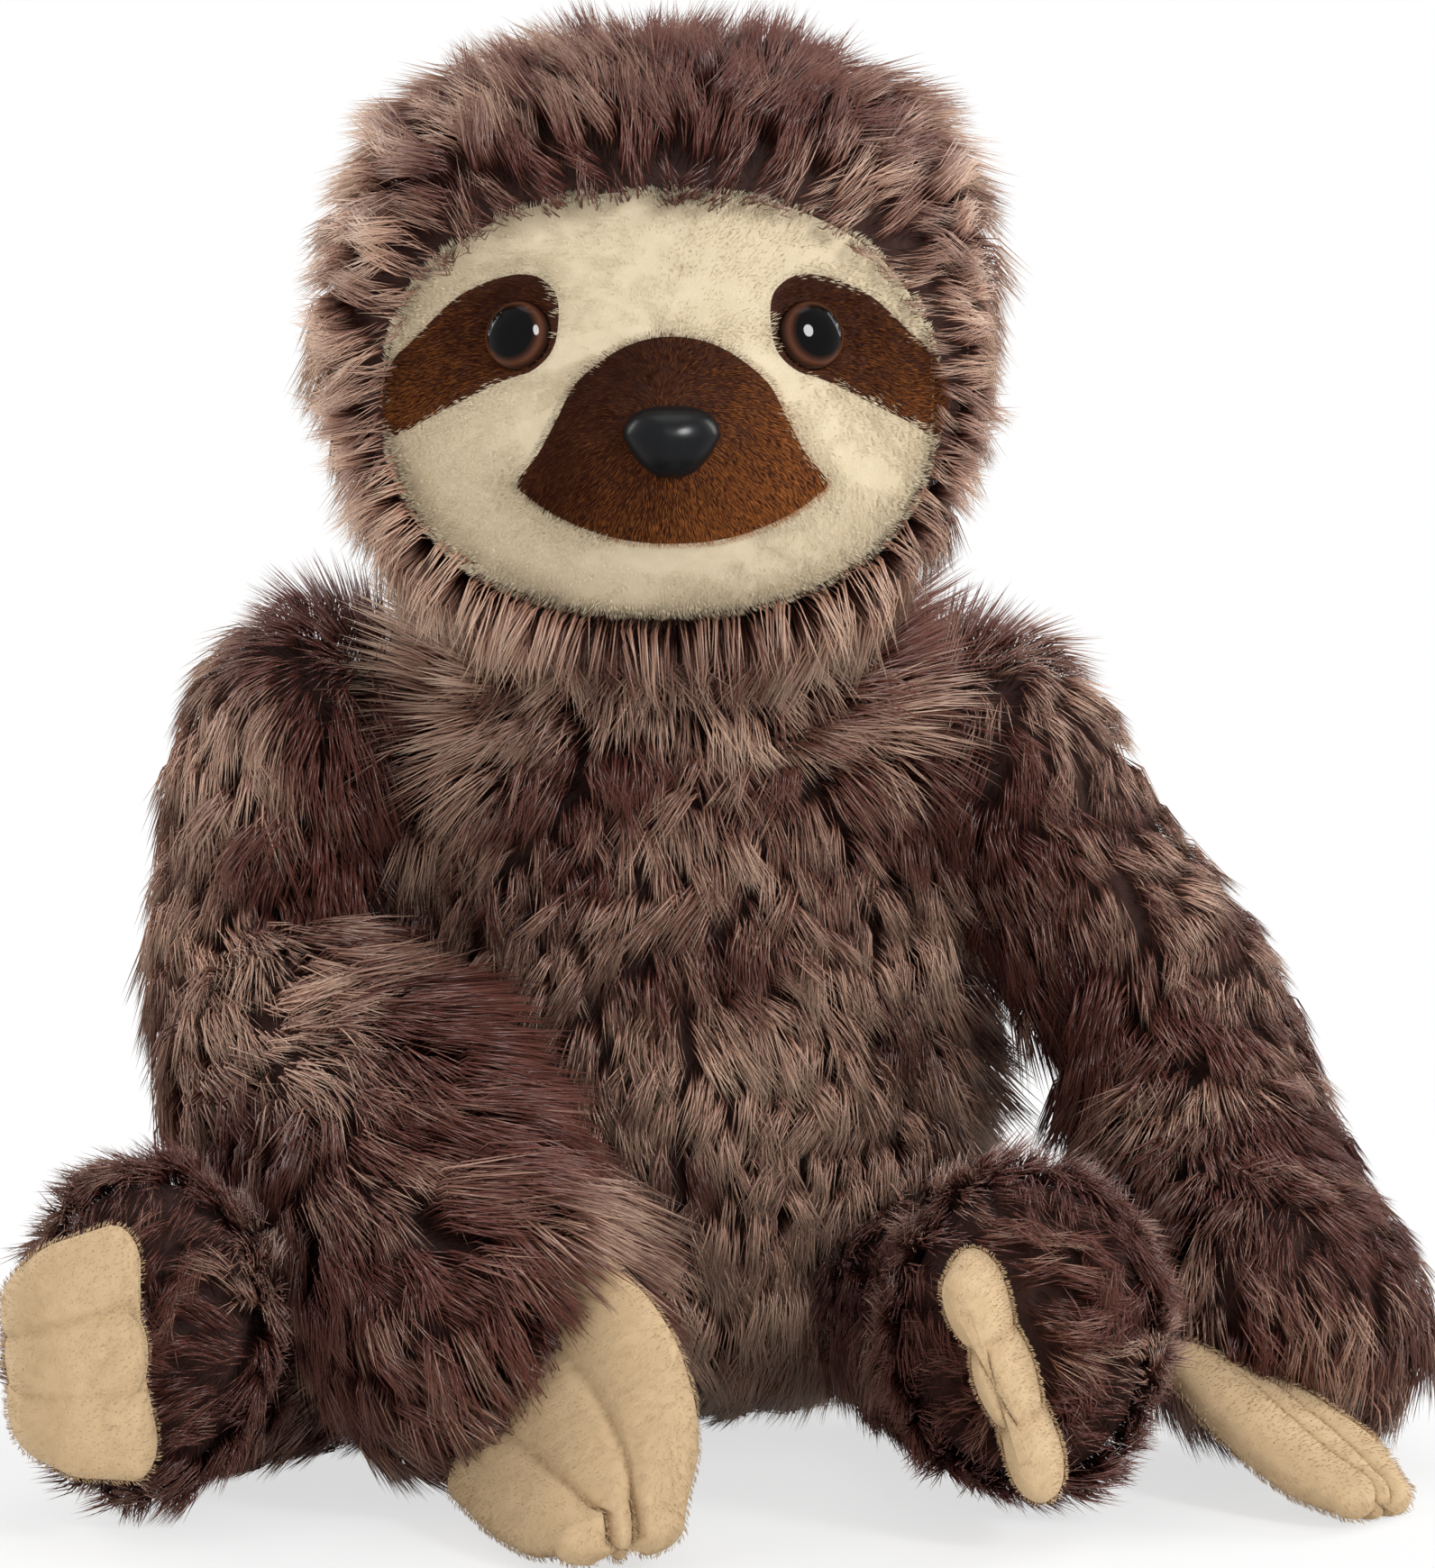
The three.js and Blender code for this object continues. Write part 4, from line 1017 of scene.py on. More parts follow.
def smooth_outline(corners, count):
    """A closed curve through corners, in even steps"""
    corners = np.array(corners, float)
    before, after, later = (np.roll(corners, shift, 0) for shift in (1, -1, -2))
    curve = []
    for t in np.linspace(0, 1, 16, endpoint=False):
        curve.append(curve_through(before, corners, after, later, t))
    curve = np.stack(curve, axis=1).reshape(-1, 2)
    closed = np.vstack([curve, curve[:1]])
    run = np.concatenate([[0], np.cumsum(np.linalg.norm(np.diff(closed, axis=0), axis=1))])
    even = np.linspace(0, run[-1], count, endpoint=False)
    return np.stack([np.interp(even, run, closed[:, k]) for k in (0, 1)], axis=1)


# A patch's rings, how far it is sewn in at its edge, and the rings that close it behind, as shares
# of its outline and millimetres back
PATCH_RINGS, PATCH_PROUD, PATCH_SUNK, PATCH_DEPTH = 22, 0.35, 0.15, 2.0
PATCH_BACK = ((1.0, 1.2), (0.6, 1.8))


def patch_mesh(name, outline, centre):
    """A patch let into the face, a little proud of it and rounded to its seam"""
    centre = np.array(centre, float)
    rings = []
    for share in np.linspace(0.05, 1, PATCH_RINGS):
        places = centre + (outline - centre) * share
        height = PATCH_PROUD * (1 - share**7) - PATCH_SUNK * share**12
        rings.append(on_face(places[:, 0], places[:, 1], height))
    for share, back in PATCH_BACK:
        places = centre + (outline - centre) * share
        rings.append(on_face(places[:, 0], places[:, 1], -back))
    return ringed(name, on_face(*centre, PATCH_PROUD), rings, on_face(*centre, -PATCH_DEPTH))


def muzzle_outline():
    half = [(x * MUZZLE_SIZE[0], z * MUZZLE_SIZE[1]) for x, z in MUZZLE_OUTLINE]
    whole = half + [(-x, z) for x, z in half[-2:0:-1]]
    return [(x + MUZZLE_CENTRE[0], z + MUZZLE_CENTRE[1]) for x, z in whole]


def eye_patch_place(sign, x, z):
    """A place on the face, from the shares of an eye patch's width and height"""
    across = EYE_MIDDLE + sign * (EYE_PATCH_INSET + x * EYE_PATCH_SIZE[0])
    return across, FACE_HEIGHT + EYE_PATCH_LIFT + z * EYE_PATCH_SIZE[1]


def turned_mesh(name, profile, sides, place, way):
    """A turned part: its profile of (radius, height) runs up an axis that points the given way"""
    turn = Vector((0, 0, 1)).rotation_difference(Vector(way)).to_matrix()
    angles = np.linspace(0, 2 * math.pi, sides, endpoint=False)

    def spot(radius, height, angle):
        flat = radius * math.cos(angle), radius * math.sin(angle), height
        return Vector(place) + turn @ Vector(flat)

    rings = [[spot(radius, height, angle) for angle in angles] for radius, height in profile[1:-1]]
    return ringed(name, spot(0, profile[0][1], 0), rings, spot(0, profile[-1][1], 0))


def claw_mitt_mesh(name, size):
    """A flat stuffed pouch, stitched into three fingers"""
    lines = []
    for key in ("first", "last"):
        rows = np.array(size[key], float) * MITT_LENGTH + np.array(size["root"])
        lines.append(smooth_rows(rows, MITT_STATIONS))
    first, last = lines
    sections = smooth_rows(np.array(MITT_SECTIONS), MITT_STATIONS) * [1, 1, size["stitch"]]
    sections[:, 0] *= size.get("thickness", 1)
    middle = (first + last) / 2
    ways = unit(np.gradient(middle, axis=0))
    draw_in(first, last, size.get("rounding", 0))
    depth = MITT_THICKNESS * sections[0][0]
    split = FINGERS_SPLIT * size["stitch"]
    rings = []
    for degrees in ROOT_TURNS:
        bend = math.radians(degrees)
        ring = mitt_ring(first[0], last[0], ways[0], sections[0], math.cos(bend), 0)
        rings.append(ring - ways[0] * depth * math.sin(bend))
    for i in range(MITT_STATIONS):
        notch = split * max(0, (i / (MITT_STATIONS - 1) - FINGERS_FROM) / FINGERS_RUN) ** 2
        rings.append(mitt_ring(first[i], last[i], ways[i], sections[i], 1, notch))
    for degrees in TIP_TURNS:
        bend = math.radians(degrees)
        ring = mitt_ring(first[-1], last[-1], ways[-1], sections[-1], math.cos(bend), split)
        rings.append(ring + ways[-1] * MITT_END * math.sin(bend))
    poles = middle[0] - ways[0] * depth, middle[-1] + ways[-1] * (MITT_END - MITT_TIP_INSET)
    mesh = ringed(name, poles[0] * MM, [ring * MM for ring in rings], poles[1] * MM)
    points, out = points_of(mesh), normals_of(mesh)
    crumple = field_noise(points, CRUMPLE_REACH, CRUMPLE_REACH, 5) * CRUMPLE_DEPTH
    points += out * crumple[:, None] * MM
    points[:, 2] = np.maximum(points[:, 2], FLOOR_GAP)
    move_points(mesh, points)
    return mesh


def draw_in(first, last, rounding):
    """Brings a mitt's outer lines together towards its root, which rounds the corners there"""
    for i in range(ROUNDED_STATIONS):
        share = 0.5 * rounding * (1 - math.sqrt(1 - (1 - i / ROUNDED_STATIONS) ** 2))
        apart = last[i] - first[i]
        first[i] += share * apart
        last[i] -= share * apart


def smooth_rows(rows, count):
    """Rows of numbers, drawn out to more rows along a smooth curve"""
    padded = np.vstack([2 * rows[0] - rows[1], rows, 2 * rows[-1] - rows[-2]])
    made = []
    for t in np.linspace(0, len(rows) - 1, count):
        i = min(int(t), len(rows) - 2)
        made.append(curve_through(*padded[i : i + 4], t - i))
    return np.array(made)


def mitt_ring(first, last, way, section, scale, notch):
    """One section of a mitt, over the outer side from last finger to first, and back below"""
    thick, wide, crease = section
    across = unit(last - first)
    out = unit(np.cross(way, across))
    thick, wide = MITT_THICKNESS * thick * scale, MITT_WIDTH * wide * scale
    shares = np.linspace(1, 0, MITT_ACROSS)
    stitch = 0.55 * (1 - np.abs(np.cos(2 * math.pi * shares)))
    for place in MITT_SEAMS:
        stitch = stitch + 0.45 * np.exp(-(((shares - place) / SEAM_WIDTH) ** 2))
    lift = thick * (1 - crease * 1.25 * stitch)
    edge = np.radians(EDGE_TURNS)

    def edge_point(end, outwards, side, angle):
        flat = across * outwards * wide * math.cos(angle)
        return end + flat + out * side * thick * math.sin(angle)

    ring = []
    for side in (1, -1):
        turned = shares if side > 0 else shares[::-1]
        heights = lift if side > 0 else -lift[::-1]
        pulled = stitch if side > 0 else stitch[::-1]
        start, finish = (last, first) if side > 0 else (first, last)
        ring.extend(edge_point(start, side, side, angle) for angle in edge)
        for share, height, pull in zip(turned, heights, pulled):
            ring.append(first + (last - first) * share + out * height - way * notch * pull)
        ring.extend(edge_point(finish, -side, side, angle) for angle in edge[::-1])
        ring.append(finish + across * -side * wide)
    return np.array(ring)


# Camera, light and floor

# Name, place, size and watts of each light, and what it stays out of
LIGHTS = [
    ("key", (0.95, -1.1, 0.85), (0.32, 0.42), 12.2, "glossy"),
    ("fill", (-1.1, -0.9, 0.55), (0.9, 0.9), 3.6, "glossy"),
    ("front", (0.1, -1.5, 0.25), (1.0, 0.8), 2.6, "glossy"),
    ("catch light", (0.6, -1.25, 0.95), (0.6, 0.74), 84, "diffuse"),
    ("rim right", (1.0, 0.55, 0.65), (0.5, 0.8), 9, None),
    ("rim left", (-1.0, 0.55, 0.65), (0.5, 0.8), 9, None),
    ("top", (0.0, 0.1, 1.4), (0.8, 0.8), 3, None),
]
LIT_PLACE = Vector((0, -0.03, 0.12))
AMBIENT = 0.42
# The floor's half width, and the distances between which it fades into the white backdrop from
# how much of that it already shows under the toy
FLOOR_HALF, FADE_FROM, FADE_TO, FLOOR_GLOW = 6.0, 0.16, 0.42, 0.68
FLOOR_GREY = (0.85, 0.85, 0.85, 1)
WHITE = (1, 1, 1, 1)


def aim(thing, place, target):
    thing.location = place
    thing.rotation_mode = "QUATERNION"
    thing.rotation_quaternion = (Vector(target) - Vector(place)).to_track_quat("-Z", "Y")


def add_camera():
    data = bpy.data.cameras.new("camera")
    data.sensor_width = 36
    data.lens = data.sensor_width * CAMERA_DISTANCE / SEEN_HEIGHT
    data.clip_start = 0.05
    made = link("camera", data)
    back = Vector((0, -math.cos(CAMERA_RISE), math.sin(CAMERA_RISE)))
    aim(made, LOOKS_AT + CAMERA_DISTANCE * back, LOOKS_AT)
    bpy.context.scene.camera = made


def add_light(name, place, size, watts, stays_out_of):
    data = bpy.data.lights.new(name, "AREA")
    data.shape, data.size, data.size_y = "ELLIPSE", *size
    data.energy = watts
    made = link(name, data)
    aim(made, place, LIT_PLACE)
    made.visible_glossy = stays_out_of != "glossy"
    made.visible_diffuse = stays_out_of != "diffuse"


def camera_sees(tree):
    """1 for rays that show the backdrop: the camera's own, and those in gloss or through glass"""
    rays = node(tree, "ShaderNodeLightPath").outputs
    seen = maths(tree, "MAXIMUM", rays["Is Camera Ray"], rays["Is Glossy Ray"])
    return maths(tree, "MAXIMUM", seen, rays["Is Transmission Ray"])


def add_world():
    """Soft light all round, in front of a white backdrop"""
    world = bpy.data.worlds.new("studio")
    bpy.context.scene.world = world
    world.use_nodes = True
    tree = world.node_tree
    soft = tree.nodes["Background"]
    soft.inputs["Color"].default_value = WHITE
    soft.inputs["Strength"].default_value = AMBIENT
    white = node(tree, "ShaderNodeBackground", {"Color": WHITE, "Strength": 1.0})
    feeds = {0: camera_sees(tree), 1: soft.outputs[0], 2: white.outputs[0]}
    shown = node(tree, "ShaderNodeMixShader", feeds).outputs[0]
    tree.links.new(shown, tree.nodes["World Output"].inputs["Surface"])


def add_floor():
    """A pale floor that keeps the toy's shadow"""
    corners = [(x * FLOOR_HALF, y * FLOOR_HALF, 0) for x, y in ((-1, -1), (1, -1), (1, 1), (-1, 1))]
    floor = link("floor", mesh_of("floor", corners, [(0, 1, 2, 3)], smooth=False))
    material, tree, matt = principled("white floor", roughness=0.8, gloss=0.1)
    matt.inputs["Base Color"].default_value = FLOOR_GREY
    glow = node(tree, "ShaderNodeEmission", {"Color": WHITE, "Strength": 1.0})
    place = node(tree, "ShaderNodeTexCoord").outputs["Object"]
    away = vectors(tree, "LENGTH", place)
    feeds = {0: away, 1: FADE_FROM, 2: FADE_TO, 3: FLOOR_GLOW, 4: 1.0}
    fade = node(tree, "ShaderNodeMapRange", feeds).outputs[0]
    amount = maths(tree, "MULTIPLY", fade, camera_sees(tree))
    feeds = {0: amount, 1: matt.outputs[0], 2: glow.outputs[0]}
    mixed = node(tree, "ShaderNodeMixShader", feeds).outputs[0]
    tree.links.new(mixed, tree.nodes["Material Output"].inputs["Surface"])
    floor.data.materials.append(material)


add_camera()
add_world()
add_floor()
for light in LIGHTS:
    add_light(*light)
bpy.context.scene.view_settings.view_transform = "Standard"

# Stuffed pieces, each a skin drawn round its packed filling, and the claw mitts

SIDES = ("right", "left")
BODY_SWELL, LIMB_SWELL = 0.002, 0.0022

body_fillings = ["body_filling", "seat_pellet_pouch", "neck_filling"]
body = skin_round("body_cloth", body_fillings, passes=4, swell=BODY_SWELL)
head = skin_round("head_cloth", ["head_filling"], passes=3, swell=BODY_SWELL)
draw_to_rim(head)
arms, legs = {}, {}
for side in SIDES:
    fillings = [f"{side}_upper_arm_filling", f"{side}_forearm_filling"]
    inner = sleeve(ARM_LINES[side][:4])
    arms[side] = skin_round(f"{side}_arm_cloth", fillings, 3, LIMB_SWELL, inner)
    legs[side] = skin_round(f"{side}_leg_cloth", [f"{side}_leg_filling"], 3, LIMB_SWELL)
mitts = {}
for name, size in MITT_LINES.items():
    cloth_name = f"{name}_mitt_cloth"
    mitts[name] = link(cloth_name, claw_mitt_mesh(cloth_name, size))

# How far the fur keeps from a mitt, up to what height the body and the limbs are sat on, and how
# much of the fur grows there
BESIDE, BODY_SAT_ON, LIMB_SAT_ON, UNDERSIDE_SHARE = 0.0022, 0.003, 0.002, 0.55
# A margin past any depth, for fur that is only left out inside a piece
INSIDE_ONLY = -1.0


def clear_of(pieces, sat_on):
    """A cover that leaves out what stands inside or against other pieces, and is thin below"""

    def cover(points, ways):
        clear = np.ones(len(points))
        for piece, gap in pieces:
            clear *= outside_of(piece.data, points, gap)
        return clear * np.where(points[:, 2] < sat_on, UNDERSIDE_SHARE, 1)

    return cover


def bands(points, bias, reach, seed=0):
    """Frosting in uneven level bands, about a bias and up to a reach on either side of it"""
    broad = field_noise(points, 30, 13, 20 + seed)
    fine = field_noise(points, 12, 7, 45 + seed)
    return bias + reach * (0.7 * broad + 0.4 * fine)


def head_cover(points, ways):
    front = (points[:, 1] < -10 * MM) & (face_rim_share(points) < 0.97)
    clear = outside_of(body.data, points, INSIDE_ONLY)
    return np.where(front, 0, 1) * clear


def near_rim(points):
    """1 at the face's rim, falling to 0 a little way out"""
    front = np.where(points[:, 1] < -8 * MM, 1, 0)
    return np.clip(1 - (face_rim_share(points) - 1) / 0.16, 0, 1) * front


def head_lean(points, ways):
    """The crown stands up, the rest lies flatter, and the pile opens round the face"""
    return 1.1 - 0.5 * over(points, "crown stands up") - 0.75 * near_rim(points)


def head_length(points, ways):
    crown = over(points, "crown grows longer")
    beside = climb(from_face_middle(points), 38, 14)
    under = (1 - over(points, "chin stops being long")) * (1 - 0.6 * beside)
    cheek = 1 - over(points, "left cheek stops being trimmed")
    leftwards = np.clip(points[:, 0] / (50 * MM), 0, 1) * cheek
    left_crown = over(points, "left of the crown grows longer")
    corner = left_crown * np.clip(points[:, 0] / (30 * MM), 0, 1)
    trimmed = 0.12 * near_rim(points) + 0.18 * leftwards * (1 - under)
    return 0.9 + 0.06 * crown + 0.08 * corner + 0.4 * under - trimmed


def head_unruly(points, ways):
    """Clumps turn every way over the crown, and hang straight in the fringe under the chin"""
    return 0.35 + 0.65 * over(points, "head turns unruly")


def head_frost_and_painted_light(points, ways):
    """Frosted down the cheeks, and in a fringe under the chin, which is partly the fringe's own
    pale tips and partly painted light in the face panel's shadow
    """
    sides = np.clip(from_face_middle(points) / 62 - 0.35, 0, 1)
    chin = near_rim(points) * (1 - over(points, "chin loses its frost"))
    # The chin term is partly real frost and partly painted light where the panel shades the fringe
    return bands(points, -0.12, 0.65, seed=3) + 1.75 * sides + 0.75 * chin


def flank(points):
    """1 at the body's sides, where its fur stands out to meet the arms"""
    return climb(from_middle(points), 44, 8) * (1 - over(points, "flank ends"))


def body_lean(points, ways):
    """The fur at the neck and on the shoulders stands up, and hangs below"""
    stands = over(points, "body stands up")
    aside = climb(from_middle(points), 20, 20)
    return 1.22 - 0.3 * stands - 0.7 * aside * stands - 0.6 * flank(points)


def body_length(points, ways):
    aside = climb(from_middle(points), 20, 20)
    return 0.95 + (0.2 + 0.75 * aside) * over(points, "body grows longer") + 0.45 * flank(points)


def body_frost_and_painted_light(points, ways):
    # Lighter low on the body: partly paler fur, partly painted light in the shade under the head
    # and the arms
    return bands(points, 0.33, 0.85) + 0.55 * (1 - over(points, "body loses its frost"))


def inner_side(side, ways):
    """1 on the side of an arm that faces the body, 0 on the other"""
    return np.clip(0.5 - math.copysign(1, ARM_LINES[side][0][0]) * ways[:, 0], 0, 1)


# For each arm: how far its pile stands up over the shoulder, and how frosted its upper arm is
SHOULDER_STAND = {"right": 0.0, "left": 0.15}
ARM_FROST = {"right": 0.85, "left": 0.5}
# The length of its pile, with what the shoulder and the place below the elbow add
ARM_PILE = {"right": (1.0, -0.52, 0.75), "left": (0.66, -0.04, 0.0)}


def arm_lean(side):
    top = ARM_LINES[side][0][2]

    def lean(points, ways):
        shoulder = rise_over(points, top + 4, top + 18)
        inner = inner_side(side, ways)
        return 1.34 - 0.35 * inner - shoulder * (SHOULDER_STAND[side] + 0.5 * inner)

    return lean


def arm_frost(side):
    """Most frosted down the outside of the upper arm"""

    def frost(points, ways):
        upper = ARM_FROST[side] * over(points, "upper arm is frosted")
        return bands(points, 0.0, 0.75, seed=5) + upper * (1 - 1.5 * inner_side(side, ways))

    return frost


def arm_length(side):
    """Longer where it faces the body, below the right elbow and round the end of the left hand"""
    pile, shoulder, hanging = ARM_PILE[side]
    top = ARM_LINES[side][0][2]

    def length(points, ways):
        gap = (1 - over(points, "arm stops filling the gap")) * 0.3
        inner = 0.33 + gap * over(points, "arm starts filling the gap")
        above = rise_over(points, top - 4, top + 18)
        below = (1 - over(points, "elbow stops hanging")) * climb(from_middle(points), 78, 10)
        cuff = climb(points[:, 0] / MM, 118, 14) * (1 - over(points, "cuff ends"))
        facing = (inner + 0.2 * above) * inner_side(side, ways)
        return pile + facing + shoulder * above + hanging * below + 0.65 * cuff

    return length


def coat(skin, panels, nap, lean, frost, pile, cover, unruly=1.0, **sizes):
    """The pile of one skin, grown panel by panel"""
    dress(skin, nap, lean, frost, pile, cover, unruly)
    points = points_of(skin.data)
    whole = np.empty(len(points), np.float32)
    skin.data.attributes["cover"].data.foreach_get("value", whole)
    made = []
    for seed, (name, holds) in enumerate(panels.items(), 1):
        panel = (whole * holds(points)).astype(np.float32)
        skin.data.attributes["cover"].data.foreach_set("value", panel)
        made.append(grow_pile(name, skin, fur, seed=seed, **sizes))
    return made


LONG = {
    "strands_per_square_metre": 1.45e6,
    "tufts_per_square_metre": 0.04e6,
    "strand_length": 0.0165,
    "strand_width": 0.00018,
    "bend": 0.16,
    "tuft_pull": 0.45,
    "unevenness": 1.0,
    "tone_spread": 0.34,
    "tuft_spread": 0.28,
}

# The head's pile stands in wider clumps that turn every way
CLUMPED = {"tufts_per_square_metre": 0.026e6, "unevenness": 1.5, "tuft_pull": 0.6, "bend": 0.2}

# The head's pelts meet at a line behind its middle
HEAD_BACK = 12 * MM

head_pelts = coat(
    head,
    {
        "head_fur_right": lambda p: (p[:, 0] < FACE_ASIDE * MM) & (p[:, 1] < HEAD_BACK),
        "head_fur_left": lambda p: (p[:, 0] >= FACE_ASIDE * MM) & (p[:, 1] < HEAD_BACK),
        "head_fur_back": lambda p: p[:, 1] >= HEAD_BACK,
    },
    nap=head_nap,
    lean=head_lean,
    frost=head_frost_and_painted_light,
    pile=head_length,
    cover=head_cover,
    unruly=head_unruly,
    **{**LONG, **CLUMPED},
)
limbs = [(piece, INSIDE_ONLY) for piece in (head, *arms.values(), *legs.values())]
body_pelts = coat(
    body,
    {
        "body_fur_front_right": lambda p: (p[:, 1] < 0) & (p[:, 0] < 0),
        "body_fur_front_left": lambda p: (p[:, 1] < 0) & (p[:, 0] >= 0),
        "body_fur_back_right": lambda p: (p[:, 1] >= 0) & (p[:, 0] < 0),
        "body_fur_back_left": lambda p: (p[:, 1] >= 0) & (p[:, 0] >= 0),
    },
    nap=body_nap,
    lean=body_lean,
    frost=body_frost_and_painted_light,
    pile=body_length,
    cover=clear_of(limbs, BODY_SAT_ON),
    **LONG,
)
arm_pelts, leg_pelts = {}, {}
for side in SIDES:
    elbow_height = ELBOWS[side][2] * MM
    arm_pelts[side] = coat(
        arms[side],
        {
            f"{side}_arm_fur_upper": lambda p: p[:, 2] >= elbow_height,
            f"{side}_arm_fur_lower": lambda p: p[:, 2] < elbow_height,
        },
        nap=arm_nap(side),
        lean=arm_lean(side),
        frost=arm_frost(side),
        pile=arm_length(side),
        cover=clear_of([(body, INSIDE_ONLY), (mitts[f"{side}_hand"], BESIDE)], LIMB_SAT_ON),
        **LONG,
    )
    beside_leg = [(body, INSIDE_ONLY), (arms[side], INSIDE_ONLY), (mitts[f"{side}_foot"], BESIDE)]
    leg_pelts[side] = coat(
        legs[side],
        {f"{side}_leg_fur": lambda p: np.ones(len(p))},
        nap=limb_nap(LEG_LINES[side], droop=0.15, outward=0.9, forward=0.5),
        lean=1.12,
        frost=lambda p, w: bands(p, -0.1, 0.6, seed=8),
        pile=0.76,
        cover=clear_of(beside_leg, LIMB_SAT_ON),
        **LONG,
    )

# Face, eyes and nose

# How many corners each outline has, and the places that the patches' rings run out from
MUZZLE_STEPS, EYE_PATCH_STEPS = 168, 132
MUZZLE_MIDDLE, EYE_PATCH_MIDDLE = (MUZZLE_CENTRE[0], MUZZLE_CENTRE[1] - 3), (0.5, 0.06)

face = link("face_cloth", face_panel_mesh())
outlines = {"muzzle_patch_cloth": smooth_outline(muzzle_outline(), MUZZLE_STEPS)}
middles = {"muzzle_patch_cloth": MUZZLE_MIDDLE}
for side, sign in zip(SIDES, (-1, 1)):
    name = f"{side}_eye_patch_cloth"
    corners = [eye_patch_place(sign, x, z) for x, z in EYE_PATCH_OUTLINE]
    outlines[name] = smooth_outline(corners, EYE_PATCH_STEPS)
    middles[name] = eye_patch_place(sign, *EYE_PATCH_MIDDLE)
patches = {}
for name, outline in outlines.items():
    patches[name] = link(name, patch_mesh(name, outline, middles[name]))

# Where the eye's and the nose's domes start over the face in millimetres, the degrees of their
# rings, and the eye's flat back as radii and heights in metres
DOME_START = 0.3
EYE_TURNS, EYE_SIDES = (0, 8, 18, 28, 38, 48, 58, 68, 76, 83), 64
EYE_BACK = [(0, -0.004), (0.006, -0.004), (EYE_RADIUS * MM * 0.97, -0.001)]
NOSE_TURNS, NOSE_SIDES = range(0, 85, 7), 56
# The eye's colours, each at a share of its radius
BLACK, BROWN, RUST = (0.0015, 0.001, 0.001), (0.03, 0.01, 0.005), (0.1, 0.036, 0.018)
EYE_STOPS = [(0.0, BLACK), (0.68, BLACK), (0.76, BROWN), (0.86, RUST), (0.95, BROWN), (1.0, BLACK)]


def eye_material(side, place, way):
    """A black pupil in a brown ring, under a polished dome"""
    material, tree, shader = principled(f"{side} eye", roughness=0.05, gloss=0.1)
    here = node(tree, "ShaderNodeTexCoord").outputs["Object"]
    off = vectors(tree, "SUBTRACT", here, tuple(place))
    flat = vectors(tree, "CROSS_PRODUCT", off, tuple(way))
    ring = maths(tree, "DIVIDE", vectors(tree, "LENGTH", flat), EYE_RADIUS * MM)
    tree.links.new(ramp(tree, ring, EYE_STOPS), shader.inputs["Base Color"])
    return material


def eye_profile():
    """The flat back that is let into the patch, and the dome in front"""
    dome = []
    for degrees in EYE_TURNS:
        turn = math.radians(degrees)
        height = (DOME_START + EYE_RISE * math.sin(turn)) * MM
        dome.append((EYE_RADIUS * MM * math.cos(turn), height))
    return [*EYE_BACK, *dome, (0, (DOME_START + EYE_RISE) * MM)]


def nose_mesh():
    """A broad rounded triangle that domes forward from the muzzle"""
    place = on_face(np.float64(MUZZLE_ASIDE), np.float64(FACE_HEIGHT + NOSE_LIFT)) / MM
    angles = np.linspace(0, 2 * math.pi, NOSE_SIDES, endpoint=False)
    across, up = np.cos(angles), np.sin(angles)
    boxy = np.sign(across) * np.abs(across) ** 0.7
    narrowing = 1 + 0.3 * np.minimum(0, up)
    x, z = boxy * narrowing, np.where(up > 0, 0.7 * up, up)
    sections = [(0.5, -1.5), (0.97, -1.0)]
    for degrees in NOSE_TURNS:
        turn = math.radians(degrees)
        sections.append((math.cos(turn), NOSE_RISE * math.sin(turn)))
    rings = []
    for share, depth in sections:
        places = [
            place[0] + NOSE_SIZE[0] * share * x,
            np.full_like(x, place[1] - DOME_START - depth),
            place[2] + NOSE_SIZE[1] * share * z,
        ]
        rings.append(np.stack(places, axis=1) * MM)
    back = np.array([place[0], place[1] + 1.2, place[2]]) * MM
    tip = np.array([place[0], place[1] - DOME_START - NOSE_RISE, place[2]]) * MM
    return ringed("nose_button", back, rings, tip)


nose = link("nose_button", nose_mesh())
nose.data.materials.append(nose_plastic)
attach(nose, "head")
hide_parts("nose")
for side, sign in zip(SIDES, (-1, 1)):
    x, z = EYE_MIDDLE + sign * EYE_APART / 2, FACE_HEIGHT + EYE_LIFT
    place, way = on_face(x, z), face_way(x, z)
    name = f"{side}_eye_dome"
    eye = link(name, turned_mesh(name, eye_profile(), EYE_SIDES, place, way))
    eye.data.materials.append(eye_material(side, place, way))
    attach(eye, "head")
    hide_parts(f"{side}_eye")

# Short plush on the face, its patches and the mitts

PANEL_PILE_SEED = 5
SHORT = {
    "strands_per_square_metre": 6.8e6,
    "tufts_per_square_metre": 0.3e6,
    "strand_length": 0.0018,
    "strand_width": 0.00006,
    "bend": 0.1,
    "tuft_pull": 0.05,
    "unevenness": 0.5,
    "tone_spread": 0.42,
    "tuft_spread": 0.06,
}


def front_only(points, ways):
    """1 where a panel faces forward, 0 where it turns in behind"""
    return np.where(ways[:, 1] < -0.12, 1.0, 0.0)


def short_coat(skin, name, material, nap, frost, cover=1.0, pile=1.0, lean=0.9, **sizes):
    """The short pile of one skin, in one piece"""
    dress(skin, nap, lean, frost, pile, cover)
    return grow_pile(name, skin, material, seed=PANEL_PILE_SEED, **{**SHORT, **sizes})


def face_nap(points, ways):
    """Away from just below the face's middle, and downwards inside its rim"""
    out = points - np.array([FACE_ASIDE, 0, FACE_HEIGHT - 8]) * MM
    out[:, 1] = 0
    rim = climb(face_rim_share(points), 0.85, 0.15)[:, None]
    return unit(out) + np.array([0, 0, -0.7]) * (1 - rim)


def edge_share(points):
    """1 at the panel's rim and beside the patches, falling to 0 a few millimetres away"""
    near = np.clip(1 - (1 - face_rim_share(points)) * 45 / 7, 0, 1)
    for patch in patches.values():
        away = np.maximum(gap_to(patch.data, points), 0)
        near = np.maximum(near, np.clip(1 - away / (5 * MM), 0, 1))
    return near


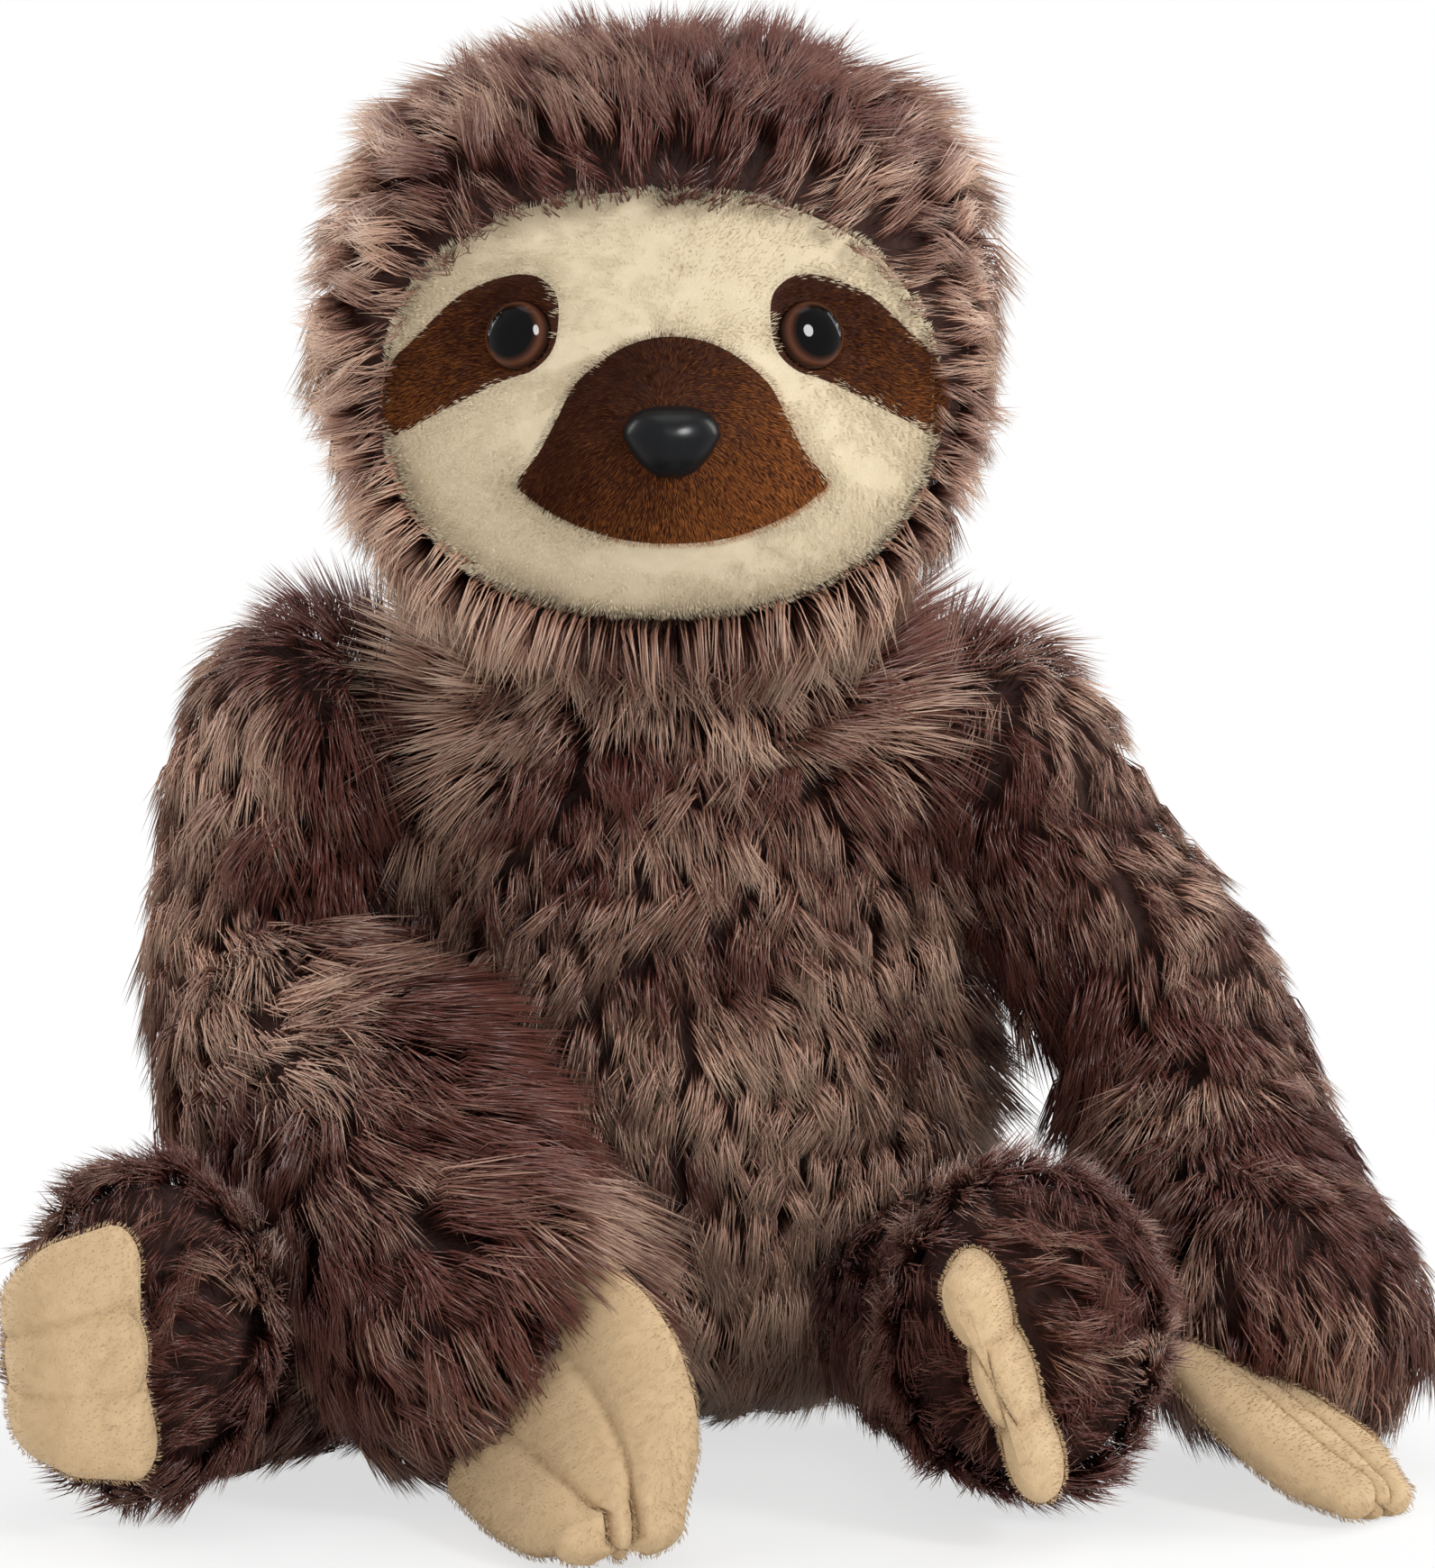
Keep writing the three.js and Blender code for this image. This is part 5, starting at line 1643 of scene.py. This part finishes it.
def face_cover(points, ways):
    """The cream pile shows as hairs where it stands over its own rim and over the patches"""
    clear = front_only(points, ways)
    for patch in patches.values():
        clear *= outside_of(patch.data, points, INSIDE_ONLY)
    return clear * (0.45 + 0.55 * edge_share(points))


def face_length(points, ways):
    rim = climb(face_rim_share(points), 0.93, 0.07)
    return 0.75 + 0.1 * edge_share(points) + 0.4 * rim


def face_lean(points, ways):
    return 0.8 + 0.35 * climb(face_rim_share(points), 0.9, 0.1)


face_pile = short_coat(
    face,
    "face_pile",
    cream_pile,
    nap=face_nap,
    frost=lambda p, w: bands(p, 0.5, 0.3, seed=12),
    cover=face_cover,
    pile=face_length,
    lean=face_lean,
    strand_width=0.0001,
    tone_spread=0.45,
)


def muzzle_frost_and_painted_sheen(points, ways):
    """Darker at the top; rust brown down the lit side, partly the patch's own colour and partly a
    painted sheen where the key light falls
    """
    x = points[:, 0] / MM / 30
    z = (points[:, 2] / MM - 198) / 20
    # Rising with x: partly real rust, partly painted sheen on the side the key light falls on
    return 0.34 + 0.62 * x - 0.4 * z + 0.12 * field_noise(points, 9, 9, 4)


def patch_frost(points, ways):
    """Darker above the eye, rust brown at the outer corner"""
    out = (np.abs(points[:, 0] / MM - EYE_MIDDLE) - 36) / 18
    z = (points[:, 2] / MM - 214) / 14
    return 0.22 + 0.2 * out - 0.22 * z + 0.12 * field_noise(points, 8, 8, 6)


def inside_edge(outline):
    """0 at a patch's edge, 1 further in"""

    def share(points):
        places = np.stack([points[:, 0], points[:, 2]], axis=1) / MM
        gap = np.linalg.norm(places[:, None] - outline, axis=-1).min(axis=1)
        return np.clip(gap / 2.4, 0, 1)

    return share


patch_piles = {}
for name, patch in patches.items():
    frost = muzzle_frost_and_painted_sheen if "muzzle" in name else patch_frost
    inside = inside_edge(outlines[name])
    patch_piles[name] = short_coat(
        patch,
        name.replace("_cloth", "_pile"),
        saddle_pile,
        nap=face_nap,
        frost=lambda p, w: frost(p, w) + 0.15 * (1 - inside(p)),
        cover=front_only,
        pile=lambda p, w: 0.4 + 0.6 * inside(p),
        lean=lambda p, w: 0.45 + 0.45 * inside(p),
    )

mitt_piles = {}
for name, mitt in mitts.items():
    line = np.array(MITT_LINES[name]["first"], float)
    run = line[-1] - line[0]
    mitt_piles[name] = short_coat(
        mitt,
        f"{name}_mitt_pile",
        tan_pile,
        nap=lambda p, w: np.broadcast_to(run, p.shape),
        frost=lambda p, w: bands(p, 0.5, 0.3, seed=14),
        strands_per_square_metre=1.05e6,
        strand_length=0.0016,
        strand_width=0.00009,
        tone_spread=0.5,
    )

# Each piece gets its cloth and, but for the arms, its body, and the imported nodes that it stands
# for are hidden


def finish_cloth(piece, material, nodes, body_name=None):
    clear_layers(piece.data)
    piece.data.materials.clear()
    piece.data.materials.append(material)
    if body_name:
        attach(piece, body_name)
    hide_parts(*nodes)


def finish_pile(piece, body_name):
    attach(piece, body_name)


finish_cloth(body, fur_backing, ["body_cover", *body_fillings], "torso")
finish_cloth(head, fur_backing, ["head_cover", "head_filling"], "head")
for pelt in body_pelts:
    finish_pile(pelt, "torso")
for pelt in head_pelts:
    finish_pile(pelt, "head")
for side in SIDES:
    line = ARM_LINES[side]
    bodies = f"{side}_upper_arm", f"{side}_forearm"
    nodes = [f"{part}_{kind}" for part in bodies for kind in ("cover", "filling")]
    finish_cloth(arms[side], fur_backing, nodes)
    for piece in (arms[side], *arm_pelts[side]):
        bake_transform(piece)
    leg = f"{side}_leg"
    finish_cloth(legs[side], fur_backing, [f"{leg}_cover", f"{leg}_filling"], leg)
    for pelt in leg_pelts[side]:
        finish_pile(pelt, leg)
for name, mitt in mitts.items():
    nodes = [f"{name}_claw_mitt", f"{name}_claw_filling"]
    finish_cloth(mitt, tan_cloth, nodes, f"{name}_claws")
    finish_pile(mitt_piles[name], f"{name}_claws")
finish_cloth(face, cream_cloth, ["face_panel"], "head")
finish_pile(face_pile, "head")
for name, patch in patches.items():
    finish_cloth(patch, saddle_cloth, [name.replace("_cloth", "")], "head")
    finish_pile(patch_piles[name], "head")
for name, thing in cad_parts.items():
    if name.endswith("_washer"):
        thing.data.materials.clear()
        thing.data.materials.append(washer_nylon)
